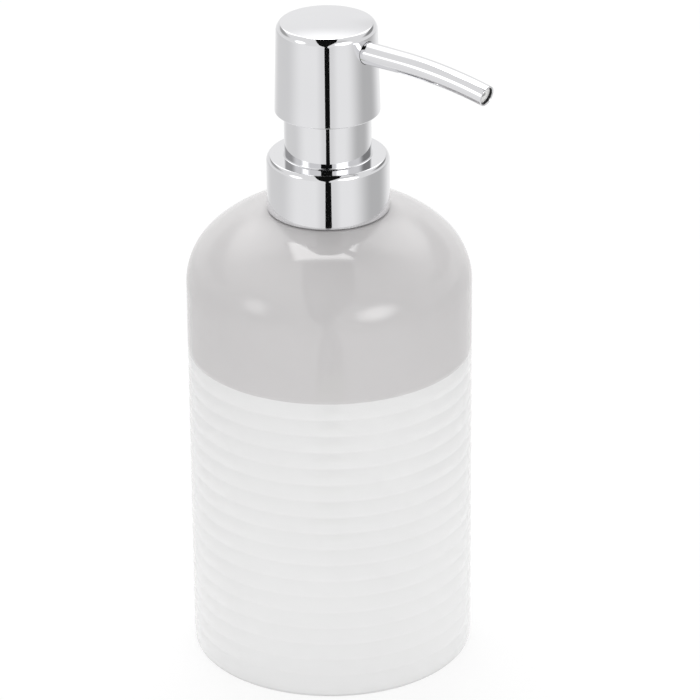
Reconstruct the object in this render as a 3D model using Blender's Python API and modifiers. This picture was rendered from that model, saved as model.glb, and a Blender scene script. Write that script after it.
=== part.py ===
"""Countertop soap dispenser: a ribbed ceramic bottle in two glazes and a chrome press pump.

The axis of the bottle is Z, its flat base lies at Z = 0 and the spout points along +X. Lengths are in metres.
Every turned piece is a profile of (radius, height) pairs, spun about the axis with a Screw modifier.
"""

import math

import bmesh
import bpy
import numpy as np
from mathutils import Matrix, Vector

MM = 0.001

# Clearances and cutting
SEAT_GAP = 0.3 * MM
CHROME_GAP = 0.22 * MM
CUT_OVERRUN = 1.0 * MM
MERGE_DISTANCE = 0.1 * MM
SHARP_ANGLE = math.radians(32)
FULL_TURN = 2 * math.pi

# Ceramic bottle
BOTTLE_RADIUS = 37.5 * MM
BOTTLE_WALL = 4.2 * MM
BOTTLE_FLOOR = 5.0 * MM
FLOOR_FILLET = 4.0 * MM
FOOT_FILLET = 1.8 * MM
GLAZE_LINE = 86.4 * MM
RIB_COUNT = 18
RIB_PITCH = 4.7 * MM
RIB_DEPTH = 0.3 * MM
SHOULDER_START = 104.7 * MM
SHOULDER_RADIUS = 17.1 * MM
SHOULDER_TURN = math.radians(43.8)
DOME_RADIUS = 30.1 * MM
MOUTH_RADIUS = 13.0 * MM
NECK_RADIUS = 15.0 * MM
NECK_RISE = 1.85 * MM
NECK_FILLET = 0.6 * MM
RIB_SHARES = (0.0, 1 / 3, 2 / 3)

# Neck insert, glued into the mouth
INSERT_THREAD_RADIUS = 12.9 * MM
INSERT_WALL = 1.4 * MM
INSERT_PLUG_DEPTH = 8.2 * MM
INSERT_FLANGE_REACH = 1.8 * MM
INSERT_FLANGE_THICKNESS = 1.0 * MM
INSERT_NECK_HEIGHT = 6.0 * MM
INSERT_CHAMFER = 0.4 * MM

# Gasket
GASKET_THICKNESS = 1.0 * MM

# Rims of the chrome caps: the turn from the wall up to the tighter upper edge
RIM_TURN = math.radians(50)

# Screw closure and its chrome shell
COLLAR_RADIUS = 16.0 * MM
COLLAR_WALL = 0.6 * MM
COLLAR_TOP_THICKNESS = 0.5 * MM
COLLAR_SHOULDER = 2.0 * MM
COLLAR_EDGE = 0.4 * MM
COLLAR_INNER_FILLET = 1.0 * MM
COLLAR_FOOT_CLEARANCE = 0.4 * MM
CLOSURE_WALL = 1.2 * MM
CLOSURE_TOP_THICKNESS = 1.2 * MM
CLOSURE_FILLET = 0.5 * MM

# Chrome sleeve
SLEEVE_RADIUS = 11.33 * MM
SLEEVE_WALL = 0.7 * MM
SLEEVE_HEIGHT = 17.2 * MM
SLEEVE_FLANGE_REACH = 1.5 * MM
SLEEVE_FLANGE_THICKNESS = 0.7 * MM

# Pump housing
CHAMBER_RADIUS = 5.6 * MM
HOUSING_WALL = 1.1 * MM
HOUSING_FLANGE_THICKNESS = 1.0 * MM
HOUSING_TOWER = 1.7 * MM
CHAMBER_DEPTH = 45.0 * MM
POCKET_RADIUS = 3.0 * MM
POCKET_DEPTH = 4.5 * MM
SEAT_CONE_HEIGHT = 1.8 * MM
INLET_RADIUS = 1.4 * MM
INLET_LENGTH = 2.0 * MM
SOCKET_DEPTH = 12.0 * MM
SOCKET_WALL = 1.0 * MM
HOUSING_TAPER = 4.0 * MM
VENT_RADIUS = 0.6 * MM

# Guide cap
GUIDE_PLUG_LENGTH = 8.0 * MM
GUIDE_FLANGE_RADIUS = 9.6 * MM
GUIDE_FLANGE_THICKNESS = 1.2 * MM
GUIDE_BOSS_RADIUS = 5.6 * MM
GUIDE_BOSS_HEIGHT = 5.5 * MM

# Stem, valve pin and piston
STEM_RADIUS = 3.6 * MM
STEM_WALL = 1.4 * MM
STEM_SHOULDER_RADIUS = 4.5 * MM
STEM_SHOULDER_THICKNESS = 1.5 * MM
STEM_TAIL = 3.9 * MM
PISTON_LOST_MOTION = 0.8 * MM
PISTON_HEIGHT = 7.0 * MM
PISTON_LIP = 0.8 * MM
PISTON_WAIST = 0.6 * MM
PISTON_BORE_RADIUS = 2.5 * MM
PISTON_GROOVE_WIDTH = 0.8 * MM
PISTON_GROOVE_DEPTH = 1.6 * MM
PISTON_SEAT_WIDTH = 1.1 * MM
PIN_LENGTH = 11.0 * MM
PIN_SLOT_WIDTH = 1.3 * MM
PIN_SLOT_START = 1.6 * MM
PIN_DISC_RADIUS = 4.4 * MM
PIN_DISC_THICKNESS = 1.6 * MM
PIN_SPIGOT_RADIUS = 2.8 * MM
PIN_SPIGOT_LENGTH = 2.0 * MM

# Inlet ball, its cage and the return spring
BALL_RADIUS = 2.0 * MM
BALL_LIFT = 1.2 * MM
RETAINER_FLOOR = 1.6 * MM
RETAINER_RIM = 2.6 * MM
RETAINER_RIM_WALL = 0.5 * MM
RETAINER_HUB_RADIUS = 1.1 * MM
RETAINER_HOLE_RADIUS = 0.8 * MM
RETAINER_HOLE_CIRCLE = 2.15 * MM
RETAINER_HOLE_COUNT = 4
SPRING_WIRE = 0.9 * MM
SPRING_RADIUS = 4.0 * MM
SPRING_ACTIVE_TURNS = 6
SPRING_END_GAP = 0.5 * MM
SPRING_POINTS_PER_TURN = 9

# Dip tube
DIP_TUBE_RADIUS = 2.6 * MM
DIP_TUBE_WALL = 0.8 * MM
DIP_TUBE_FLOOR_GAP = 4.0 * MM
DIP_TUBE_CUT_ANGLE = math.radians(35)

# Button
PRESS_TRAVEL = 11.0 * MM
BUTTON_FOOT_CLEARANCE = 1.2 * MM
BUTTON_HEIGHT = 24.5 * MM
BUTTON_FOOT_RADIUS = 13.7 * MM
BUTTON_TOP_RADIUS = 13.1 * MM
BUTTON_WALL = 1.1 * MM
BUTTON_ROOF = 1.3 * MM
BUTTON_CROWN = 0.4 * MM
BUTTON_SHOULDER = 2.6 * MM
BUTTON_EDGE = 0.6 * MM
BUTTON_INNER_FILLET = 0.5 * MM
BUTTON_FOOT_FILLET = 0.25 * MM

# Spout
SPOUT_DEPTH = 5.85 * MM
SPOUT_REACH = 50.6 * MM
SPOUT_STRAIGHT = 24.0 * MM
SPOUT_BEND_RADIUS = 125.0 * MM
SPOUT_ROOT_RADIUS = 3.0 * MM
SPOUT_TIP_RADIUS = 2.75 * MM
SPOUT_WALL = 1.1 * MM
SPOUT_BEND_POINTS = 7

# Actuator core
CORE_HUB_WALL = 1.3 * MM
CORE_HUB_LENGTH = 16.8 * MM
CORE_SOCKET_LENGTH = 8.3 * MM
CORE_FLANGE_THICKNESS = 1.2 * MM
CORE_FLANGE_GAP = 0.35 * MM
CORE_RIB_THICKNESS = 1.2 * MM
CORE_RIB_DEPTH = 7.0 * MM
CORE_RIB_COUNT = 3
CORE_CHANNEL_RADIUS = 1.8 * MM
CORE_SPOUT_START = 4.6 * MM
CORE_BOSS_MARGIN = 0.1 * MM

# Facets
BOTTLE_STEPS = 40
CHROME_STEPS = 32
CLOSURE_STEPS = 24
PUMP_STEPS = 20
SMALL_STEPS = 16
FILLET_STEPS = 3
RIM_EDGE_STEPS = 2
BEND_STEPS = 7
INNER_BEND_STEPS = 5
FILLET_ROOM_SHARE = 0.48

# Sizes and heights worked out from the ones above, from the base upwards
BOTTLE_BORE = BOTTLE_RADIUS - BOTTLE_WALL
RIBS_BOTTOM = GLAZE_LINE - RIB_COUNT * RIB_PITCH
DOME_CENTRE_RADIUS = BOTTLE_RADIUS - SHOULDER_RADIUS + (SHOULDER_RADIUS - DOME_RADIUS) * math.cos(SHOULDER_TURN)
DOME_CENTRE_HEIGHT = SHOULDER_START + (SHOULDER_RADIUS - DOME_RADIUS) * math.sin(SHOULDER_TURN)


def dome_height(radius):
    """Height of the dome's outer surface at a distance from the axis."""
    return DOME_CENTRE_HEIGHT + math.sqrt(DOME_RADIUS**2 - (radius - DOME_CENTRE_RADIUS) ** 2)


NECK_TOP = dome_height(NECK_RADIUS) + NECK_RISE
INSERT_PLUG_RADIUS = MOUTH_RADIUS - SEAT_GAP
INSERT_BORE = INSERT_THREAD_RADIUS - INSERT_WALL
INSERT_SEAT = NECK_TOP + SEAT_GAP
INSERT_TOP = INSERT_SEAT + INSERT_FLANGE_THICKNESS + INSERT_NECK_HEIGHT
GASKET_FOOT = INSERT_TOP + SEAT_GAP
HOUSING_FLANGE_FOOT = GASKET_FOOT + GASKET_THICKNESS + SEAT_GAP
HOUSING_FLANGE_TOP = HOUSING_FLANGE_FOOT + HOUSING_FLANGE_THICKNESS
CLOSURE_ROOF = HOUSING_FLANGE_TOP + SEAT_GAP
CLOSURE_TOP = CLOSURE_ROOF + CLOSURE_TOP_THICKNESS
CLOSURE_FOOT = INSERT_SEAT + INSERT_FLANGE_THICKNESS + SEAT_GAP
COLLAR_BORE = COLLAR_RADIUS - COLLAR_WALL
CLOSURE_RADIUS = COLLAR_BORE - SEAT_GAP
CLOSURE_BORE = CLOSURE_RADIUS - CLOSURE_WALL
SLEEVE_FOOT = CLOSURE_TOP + SEAT_GAP
SLEEVE_BORE = SLEEVE_RADIUS - SLEEVE_WALL
SLEEVE_TOP = SLEEVE_FOOT + SLEEVE_HEIGHT
COLLAR_ROOF = SLEEVE_FOOT + SLEEVE_FLANGE_THICKNESS + SEAT_GAP
COLLAR_TOP = COLLAR_ROOF + COLLAR_TOP_THICKNESS
COLLAR_FOOT = dome_height(COLLAR_RADIUS) + COLLAR_FOOT_CLEARANCE
HOUSING_RADIUS = CHAMBER_RADIUS + HOUSING_WALL
HOUSING_TOP = HOUSING_FLANGE_TOP + HOUSING_TOWER
CHAMBER_FLOOR = HOUSING_TOP - CHAMBER_DEPTH
POCKET_FLOOR = CHAMBER_FLOOR - POCKET_DEPTH
CONE_FOOT = POCKET_FLOOR - SEAT_CONE_HEIGHT
SOCKET_TOP = CONE_FOOT - INLET_LENGTH
SOCKET_FOOT = SOCKET_TOP - SOCKET_DEPTH
SOCKET_BORE = DIP_TUBE_RADIUS + SEAT_GAP
SOCKET_RADIUS = SOCKET_BORE + SOCKET_WALL
GUIDE_SEAT = HOUSING_TOP + SEAT_GAP
GUIDE_FOOT = GUIDE_SEAT - GUIDE_PLUG_LENGTH
GUIDE_BORE = STEM_RADIUS + SEAT_GAP
GUIDE_TOP = GUIDE_SEAT + GUIDE_FLANGE_THICKNESS + GUIDE_BOSS_HEIGHT
PLUG_RADIUS = CHAMBER_RADIUS - SEAT_GAP
STEM_BORE = STEM_RADIUS - STEM_WALL
SHOULDER_TOP = GUIDE_FOOT - SEAT_GAP
SHOULDER_FOOT = SHOULDER_TOP - STEM_SHOULDER_THICKNESS
STEM_FOOT = SHOULDER_FOOT - STEM_TAIL
PISTON_TOP = SHOULDER_FOOT - SEAT_GAP - PISTON_LOST_MOTION
PISTON_FOOT = PISTON_TOP - PISTON_HEIGHT
PISTON_STEP = STEM_FOOT - SEAT_GAP - PISTON_LOST_MOTION
PIN_DISC_TOP = PISTON_FOOT - SEAT_GAP
PIN_DISC_FOOT = PIN_DISC_TOP - PIN_DISC_THICKNESS
PIN_RADIUS = STEM_BORE - SEAT_GAP
CONE_SLOPE = math.hypot(POCKET_RADIUS - INLET_RADIUS, SEAT_CONE_HEIGHT)
BALL_CENTRE = CONE_FOOT + (
    (BALL_RADIUS + SEAT_GAP) * CONE_SLOPE - INLET_RADIUS * SEAT_CONE_HEIGHT
) / (POCKET_RADIUS - INLET_RADIUS)
RETAINER_SEAT = CHAMBER_FLOOR + SEAT_GAP
RETAINER_HUB_FOOT = BALL_CENTRE + BALL_RADIUS + BALL_LIFT + SEAT_GAP
SPRING_FOOT = RETAINER_SEAT + RETAINER_FLOOR + SEAT_GAP
SPRING_TOP = PIN_DISC_FOOT - SEAT_GAP
DIP_TUBE_TOP = SOCKET_TOP - SEAT_GAP
DIP_TUBE_FOOT = BOTTLE_FLOOR + DIP_TUBE_FLOOR_GAP
BUTTON_FOOT = COLLAR_TOP + BUTTON_FOOT_CLEARANCE + PRESS_TRAVEL
BUTTON_TOP = BUTTON_FOOT + BUTTON_HEIGHT
BUTTON_RIM = BUTTON_TOP - BUTTON_CROWN
BUTTON_LEAN = math.atan((BUTTON_FOOT_RADIUS - BUTTON_TOP_RADIUS) / BUTTON_HEIGHT)
SPOUT_HEIGHT = BUTTON_TOP - SPOUT_DEPTH
CORE_TOP = BUTTON_RIM - BUTTON_ROOF - SEAT_GAP
CORE_FOOT = CORE_TOP - CORE_HUB_LENGTH
CORE_SOCKET_RADIUS = STEM_RADIUS + SEAT_GAP
CORE_HUB_RADIUS = CORE_SOCKET_RADIUS + CORE_HUB_WALL
CORE_FLANGE_RADIUS = BUTTON_TOP_RADIUS - BUTTON_WALL - CORE_FLANGE_GAP
CORE_SPOUT_BORE = SPOUT_ROOT_RADIUS + SEAT_GAP
STEM_TOP = CORE_FOOT + CORE_SOCKET_LENGTH - SEAT_GAP

# Colours, measured by eye on the finished surfaces
GREY_GLAZE = (0.60, 0.59, 0.59, 1.0)
WHITE_GLAZE = (0.80, 0.80, 0.80, 1.0)
CHROME = (0.80, 0.80, 0.82, 1.0)
WHITE_PLASTIC = (0.82, 0.82, 0.80, 1.0)
NATURAL_PLASTIC = (0.70, 0.71, 0.70, 1.0)
SEAL_FOAM = (0.75, 0.75, 0.73, 1.0)
STAINLESS = (0.55, 0.55, 0.56, 1.0)


def clear_scene():
    """Removes what the file starts with."""
    for obj in list(bpy.data.objects):
        bpy.data.objects.remove(obj)


def new_collection(name):
    collection = bpy.data.collections.new(name)
    bpy.context.scene.collection.children.link(collection)
    return collection


def new_material(name, colour, roughness, metallic=0.0):
    material = bpy.data.materials.new(name)
    material.use_nodes = True
    shader = material.node_tree.nodes["Principled BSDF"]
    shader.inputs["Base Color"].default_value = colour
    shader.inputs["Roughness"].default_value = roughness
    shader.inputs["Metallic"].default_value = metallic
    material.diffuse_color = colour
    return material


def arc(centre, radius, start, end, steps):
    """Points of an arc about a (radius, height) centre, with angles measured from the outward direction."""
    turns = [start + (end - start) * step / steps for step in range(steps + 1)]
    return [(centre[0] + radius * math.cos(turn), centre[1] + radius * math.sin(turn)) for turn in turns]


def fillet_points(before, corner, after, radius, steps):
    """Points of the arc that rounds a corner, kept to less than half of the shorter side."""
    corner = Vector(corner)
    to_before = Vector(before) - corner
    to_after = Vector(after) - corner
    half_angle = to_before.angle(to_after) / 2
    room = min(to_before.length, to_after.length) * FILLET_ROOM_SHARE
    reach = min(radius / math.tan(half_angle), room)
    radius = reach * math.tan(half_angle)
    towards = (to_before.normalized() + to_after.normalized()).normalized()
    centre = corner + towards * (radius / math.sin(half_angle))
    first = corner + to_before.normalized() * reach - centre
    last = corner + to_after.normalized() * reach - centre
    sweep = math.atan2(first.x * last.y - first.y * last.x, first.dot(last))
    points = []
    for step in range(steps + 1):
        turned_by = Matrix.Rotation(sweep * step / steps, 2)
        points.append(tuple(centre + turned_by @ first))
    return points


def outline(corners, closed=False, steps=FILLET_STEPS):
    """Points of a profile. A corner is (radius, height), or (radius, height, fillet) where it is rounded.

    One step for each fillet makes a chamfer.
    """
    points = []
    last = len(corners) - 1
    for index, corner in enumerate(corners):
        at_end = not closed and index in (0, last)
        if len(corner) == 2 or at_end:
            points.append(tuple(corner[:2]))
            continue
        before = corners[index - 1][:2]
        after = corners[(index + 1) % len(corners)][:2]
        points += fillet_points(before, corner[:2], after, corner[2], steps)
    return points


def rim_points(radius, height, shoulder, edge, lean=0):
    """Rim of a cap, from its top down to its wall: a tight edge that runs out into a gentler shoulder."""
    wide = (radius - shoulder, height - edge - (shoulder - edge) * math.sin(RIM_TURN))
    tight = (wide[0] + (shoulder - edge) * math.cos(RIM_TURN), height - edge)
    upper = arc(tight, edge, math.pi / 2, RIM_TURN, RIM_EDGE_STEPS)
    return upper + arc(wide, shoulder, RIM_TURN, lean, FILLET_STEPS)[1:]


def shade(mesh):
    mesh.shade_smooth()
    mesh.set_sharp_from_angle(angle=SHARP_ANGLE)


def bake(obj):
    """Turns an object's evaluated shape into its own mesh."""
    graph = bpy.context.evaluated_depsgraph_get()
    mesh = bpy.data.meshes.new_from_object(obj.evaluated_get(graph))
    mesh.name = obj.name
    return mesh


def link(name, mesh, collection, material=None):
    obj = bpy.data.objects.new(name, mesh)
    collection.objects.link(obj)
    if material and not mesh.materials:
        mesh.materials.append(material)
    return obj


def spin(name, points, closed, steps, collection, material=None):
    """A turned piece: the profile runs down its outer side, and up its bore where it is a closed loop."""
    profile = bpy.data.meshes.new(name + "_profile")
    edges = [(index, index + 1) for index in range(len(points) - 1)]
    if closed:
        edges.append((len(points) - 1, 0))
    profile.from_pydata([(radius, 0, height) for radius, height in points], edges, [])
    guide = link(name + "_guide", profile, collection)
    screw = guide.modifiers.new("Turn", "SCREW")
    screw.axis = "Z"
    screw.angle = FULL_TURN
    screw.steps = steps
    screw.render_steps = steps
    screw.use_merge_vertices = True
    screw.merge_threshold = MERGE_DISTANCE
    mesh = bake(guide)
    bpy.data.objects.remove(guide)
    bpy.data.meshes.remove(profile)
    shade(mesh)
    return link(name, mesh, collection, material)


def wire(name, points, radii, sides, collection, material=None):
    """A round wire or rod through points, as a closed mesh made from a bevelled curve with capped ends."""
    curve = bpy.data.curves.new(name + "_path", "CURVE")
    curve.dimensions = "3D"
    curve.bevel_depth = max(radii)
    curve.bevel_resolution = (sides - 4) // 2
    curve.use_fill_caps = True
    spline = curve.splines.new("POLY")
    spline.points.add(len(points) - 1)
    for point, place, radius in zip(spline.points, points, radii):
        point.co = (*place, 1)
        point.radius = radius / max(radii)
    guide = bpy.data.objects.new(name + "_guide", curve)
    collection.objects.link(guide)
    mesh = bake(guide)
    bpy.data.objects.remove(guide)
    bpy.data.curves.remove(curve)
    welded = bmesh.new()
    welded.from_mesh(mesh)
    bmesh.ops.remove_doubles(welded, verts=welded.verts, dist=MERGE_DISTANCE / 10)
    welded.to_mesh(mesh)
    welded.free()
    shade(mesh)
    return link(name, mesh, collection, material)


def as_cutter(obj):
    obj.hide_render = True
    obj.display_type = "WIRE"
    return obj


def boolean(obj, other, operation="DIFFERENCE"):
    modifier = obj.modifiers.new(operation.title() + " " + other.name, "BOOLEAN")
    modifier.operation = operation
    modifier.object = other
    modifier.solver = "EXACT"


def rods(name, places, radius, length, steps, collection):
    """A cutter of upright round rods, each centred on one of the places."""
    shape = bmesh.new()
    for place in places:
        bmesh.ops.create_cone(
            shape,
            cap_ends=True,
            segments=steps,
            radius1=radius,
            radius2=radius,
            depth=length,
            matrix=Matrix.Translation(place),
        )
    mesh = bpy.data.meshes.new(name)
    shape.to_mesh(mesh)
    shape.free()
    return as_cutter(link(name, mesh, collection))


def block(name, size, centre, collection):
    """A box of a given size, used to cut or to add to a piece."""
    shape = bmesh.new()
    bmesh.ops.create_cube(shape, size=1, matrix=Matrix.Translation(centre) @ Matrix.Diagonal((*size, 1)))
    mesh = bpy.data.meshes.new(name)
    shape.to_mesh(mesh)
    shape.free()
    return as_cutter(link(name, mesh, collection))


def tube_points(outer, bore, foot, top):
    """Loop of a plain tube between two heights."""
    return [(outer, top), (outer, foot), (bore, foot), (bore, top)]


def rib_points():
    """The ribbed wall from the glaze line down: shallow rounded crests that meet in narrow valleys."""
    points = []
    for rib in range(RIB_COUNT):
        top = GLAZE_LINE - rib * RIB_PITCH
        for share in RIB_SHARES:
            dip = RIB_DEPTH * (1 - math.sin(math.pi * share))
            points.append((BOTTLE_RADIUS - dip, top - share * RIB_PITCH))
    points.append((BOTTLE_RADIUS - RIB_DEPTH, RIBS_BOTTOM))
    return points


def shoulder_points(inset, end_radius, steps):
    """The wall's shoulder and dome, from the straight wall up to a distance from the axis."""
    dome = (DOME_CENTRE_RADIUS, DOME_CENTRE_HEIGHT)
    turn = math.acos((end_radius - dome[0]) / (DOME_RADIUS - inset))
    shoulder = (BOTTLE_RADIUS - SHOULDER_RADIUS, SHOULDER_START)
    lower = arc(shoulder, SHOULDER_RADIUS - inset, 0, SHOULDER_TURN, steps)
    return lower + arc(dome, DOME_RADIUS - inset, SHOULDER_TURN, turn, steps)[1:]


def make_bottle(collection, grey_glaze, white_glaze):
    inner = outline(
        [(0, BOTTLE_FLOOR), (BOTTLE_BORE, BOTTLE_FLOOR, FLOOR_FILLET), (BOTTLE_BORE, SHOULDER_START)]
    )[:-1]
    inner += shoulder_points(BOTTLE_WALL, MOUTH_RADIUS, INNER_BEND_STEPS)
    rim = outline(
        [
            inner[-1],
            (MOUTH_RADIUS, NECK_TOP, NECK_FILLET),
            (NECK_RADIUS, NECK_TOP, NECK_FILLET),
            (NECK_RADIUS, dome_height(NECK_RADIUS)),
        ]
    )[1:-1]
    outer = list(reversed(shoulder_points(0, NECK_RADIUS, BEND_STEPS)))
    foot = outline([(BOTTLE_RADIUS - RIB_DEPTH, RIBS_BOTTOM), (BOTTLE_RADIUS - RIB_DEPTH, 0, FOOT_FILLET), (0, 0)])
    points = inner + rim + outer + rib_points() + foot[2:]
    bottle = spin("ceramic_bottle", points, False, BOTTLE_STEPS, collection, grey_glaze)
    bottle.data.materials.append(white_glaze)
    for face in bottle.data.polygons:
        outside = math.hypot(face.center.x, face.center.y) > BOTTLE_BORE
        if outside and face.center.z < GLAZE_LINE:
            face.material_index = 1
    return bottle


def make_neck_insert(collection, material):
    flange_radius = INSERT_THREAD_RADIUS + INSERT_FLANGE_REACH
    flange_top = INSERT_SEAT + INSERT_FLANGE_THICKNESS
    corners = [
        (INSERT_THREAD_RADIUS, INSERT_TOP, INSERT_CHAMFER),
        (INSERT_THREAD_RADIUS, flange_top),
        (flange_radius, flange_top),
        (flange_radius, INSERT_SEAT),
        (INSERT_PLUG_RADIUS, INSERT_SEAT),
        (INSERT_PLUG_RADIUS, INSERT_SEAT - INSERT_PLUG_DEPTH, INSERT_CHAMFER),
        (INSERT_BORE, INSERT_SEAT - INSERT_PLUG_DEPTH),
        (INSERT_BORE, INSERT_TOP),
    ]
    return spin("neck_insert", outline(corners, True, 1), True, CLOSURE_STEPS, collection, material)


def make_gasket(collection, material):
    points = tube_points(INSERT_THREAD_RADIUS, INSERT_BORE, GASKET_FOOT, GASKET_FOOT + GASKET_THICKNESS)
    return spin("neck_gasket", points, True, CLOSURE_STEPS, collection, material)


def make_closure(collection, material):
    corners = [
        (CLOSURE_RADIUS, CLOSURE_TOP, CLOSURE_FILLET),
        (CLOSURE_RADIUS, CLOSURE_FOOT),
        (CLOSURE_BORE, CLOSURE_FOOT),
        (CLOSURE_BORE, CLOSURE_ROOF),
        (HOUSING_RADIUS + SEAT_GAP, CLOSURE_ROOF),
        (HOUSING_RADIUS + SEAT_GAP, CLOSURE_TOP),
    ]
    return spin("screw_closure", outline(corners, True, 1), True, CLOSURE_STEPS, collection, material)


def make_collar_shell(collection, material):
    hole = SLEEVE_RADIUS + CHROME_GAP
    corners = [
        *rim_points(COLLAR_RADIUS, COLLAR_TOP, COLLAR_SHOULDER, COLLAR_EDGE),
        (COLLAR_RADIUS, COLLAR_FOOT),
        (COLLAR_BORE, COLLAR_FOOT),
        (COLLAR_BORE, COLLAR_ROOF, COLLAR_INNER_FILLET),
        (hole, COLLAR_ROOF),
        (hole, COLLAR_TOP),
    ]
    return spin("collar_shell", outline(corners, True), True, CHROME_STEPS, collection, material)


def make_sleeve(collection, material):
    flange_radius = SLEEVE_RADIUS + SLEEVE_FLANGE_REACH
    flange_top = SLEEVE_FOOT + SLEEVE_FLANGE_THICKNESS
    points = [
        (SLEEVE_RADIUS, SLEEVE_TOP),
        (SLEEVE_RADIUS, flange_top),
        (flange_radius, flange_top),
        (flange_radius, SLEEVE_FOOT),
        (SLEEVE_BORE, SLEEVE_FOOT),
        (SLEEVE_BORE, SLEEVE_TOP),
    ]
    return spin("stem_sleeve", points, True, CHROME_STEPS, collection, material)


def make_housing(collection, cutters, material):
    """Chamber, flange, ball pocket with its conical seat, inlet and dip tube socket, with a vent in its side."""
    points = [
        (HOUSING_RADIUS, HOUSING_TOP),
        (HOUSING_RADIUS, HOUSING_FLANGE_TOP),
        (INSERT_THREAD_RADIUS, HOUSING_FLANGE_TOP),
        (INSERT_THREAD_RADIUS, HOUSING_FLANGE_FOOT),
        (HOUSING_RADIUS, HOUSING_FLANGE_FOOT),
        (HOUSING_RADIUS, CHAMBER_FLOOR - HOUSING_WALL),
        (SOCKET_RADIUS, CHAMBER_FLOOR - HOUSING_WALL - HOUSING_TAPER),
        (SOCKET_RADIUS, SOCKET_FOOT),
        (SOCKET_BORE, SOCKET_FOOT),
        (SOCKET_BORE, SOCKET_TOP),
        (INLET_RADIUS, SOCKET_TOP),
        (INLET_RADIUS, CONE_FOOT),
        (POCKET_RADIUS, POCKET_FLOOR),
        (POCKET_RADIUS, CHAMBER_FLOOR),
        (CHAMBER_RADIUS, CHAMBER_FLOOR),
        (CHAMBER_RADIUS, HOUSING_TOP),
    ]
    housing = spin("pump_housing", points, True, PUMP_STEPS, collection, material)
    vent = rods("vent_cutter", [(0, 0, 0)], VENT_RADIUS, HOUSING_WALL + 2 * CUT_OVERRUN, SMALL_STEPS // 2, cutters)
    vent.location = (-CHAMBER_RADIUS - HOUSING_WALL / 2, 0, PISTON_FOOT + PISTON_HEIGHT / 2)
    vent.rotation_euler = (0, math.pi / 2, 0)
    boolean(housing, vent)
    return housing


def make_guide_cap(collection, material):
    flange_top = GUIDE_SEAT + GUIDE_FLANGE_THICKNESS
    points = [
        (GUIDE_BOSS_RADIUS, GUIDE_TOP),
        (GUIDE_BOSS_RADIUS, flange_top),
        (GUIDE_FLANGE_RADIUS, flange_top),
        (GUIDE_FLANGE_RADIUS, GUIDE_SEAT),
        (PLUG_RADIUS, GUIDE_SEAT),
        (PLUG_RADIUS, GUIDE_FOOT),
        (GUIDE_BORE, GUIDE_FOOT),
        (GUIDE_BORE, GUIDE_TOP),
    ]
    return spin("guide_cap", points, True, PUMP_STEPS, collection, material)


def make_stem(collection, material):
    """Hollow stem: its shoulder stops under the guide cap and its tail slides in the piston."""
    points = [
        (STEM_RADIUS, STEM_TOP),
        (STEM_RADIUS, SHOULDER_TOP),
        (STEM_SHOULDER_RADIUS, SHOULDER_TOP),
        (STEM_SHOULDER_RADIUS, SHOULDER_FOOT),
        (STEM_RADIUS, SHOULDER_FOOT),
        (STEM_RADIUS, STEM_FOOT),
        (STEM_BORE, STEM_FOOT),
        (STEM_BORE, STEM_TOP),
    ]
    return spin("pump_stem", points, True, PUMP_STEPS, collection, material)


def make_valve_pin(collection, cutters, material):
    """Split pin that is pressed into the stem, with the disc that the piston closes on and a spigot for the spring."""
    points = [
        (0, PIN_DISC_TOP + PIN_LENGTH),
        (PIN_RADIUS, PIN_DISC_TOP + PIN_LENGTH),
        (PIN_RADIUS, PIN_DISC_TOP),
        (PIN_DISC_RADIUS, PIN_DISC_TOP),
        (PIN_DISC_RADIUS, PIN_DISC_FOOT),
        (PIN_SPIGOT_RADIUS, PIN_DISC_FOOT),
        (PIN_SPIGOT_RADIUS, PIN_DISC_FOOT - PIN_SPIGOT_LENGTH),
        (0, PIN_DISC_FOOT - PIN_SPIGOT_LENGTH),
    ]
    pin = spin("valve_pin", points, False, SMALL_STEPS, collection, material)
    slot_length = PIN_LENGTH - PIN_SLOT_START + CUT_OVERRUN
    slot = block(
        "pin_slot_cutter",
        (PIN_SLOT_WIDTH, 2 * PIN_RADIUS + 2 * CUT_OVERRUN, slot_length),
        (0, 0, PIN_DISC_TOP + PIN_SLOT_START + slot_length / 2),
        cutters,
    )
    boolean(pin, slot)
    return pin


def make_piston(collection, material):
    """Ring with a flared lip at each end, a counterbore for the stem's tail and a raised seat for the valve disc."""
    waist = PLUG_RADIUS - PISTON_WAIST
    seat_radius = PISTON_BORE_RADIUS + PISTON_SEAT_WIDTH
    counterbore = STEM_RADIUS + SEAT_GAP
    points = [
        (PLUG_RADIUS, PISTON_TOP),
        (PLUG_RADIUS, PISTON_TOP - PISTON_LIP),
        (waist, PISTON_TOP - 2 * PISTON_LIP),
        (waist, PISTON_FOOT + 2 * PISTON_LIP),
        (PLUG_RADIUS, PISTON_FOOT + PISTON_LIP),
        (PLUG_RADIUS, PISTON_FOOT),
        (seat_radius + PISTON_GROOVE_WIDTH, PISTON_FOOT),
        (seat_radius, PISTON_FOOT + PISTON_GROOVE_DEPTH),
        (seat_radius, PISTON_FOOT),
        (PISTON_BORE_RADIUS, PISTON_FOOT),
        (PISTON_BORE_RADIUS, PISTON_STEP),
        (counterbore, PISTON_STEP),
        (counterbore, PISTON_TOP),
    ]
    return spin("piston", points, True, PUMP_STEPS, collection, material)


def make_ball(collection, material):
    shape = bmesh.new()
    bmesh.ops.create_uvsphere(shape, u_segments=SMALL_STEPS, v_segments=SMALL_STEPS // 2, radius=BALL_RADIUS)
    mesh = bpy.data.meshes.new("inlet_ball")
    shape.to_mesh(mesh)
    shape.free()
    mesh.shade_smooth()
    ball = link("inlet_ball", mesh, collection, material)
    ball.location = (0, 0, BALL_CENTRE)
    return ball


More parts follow.
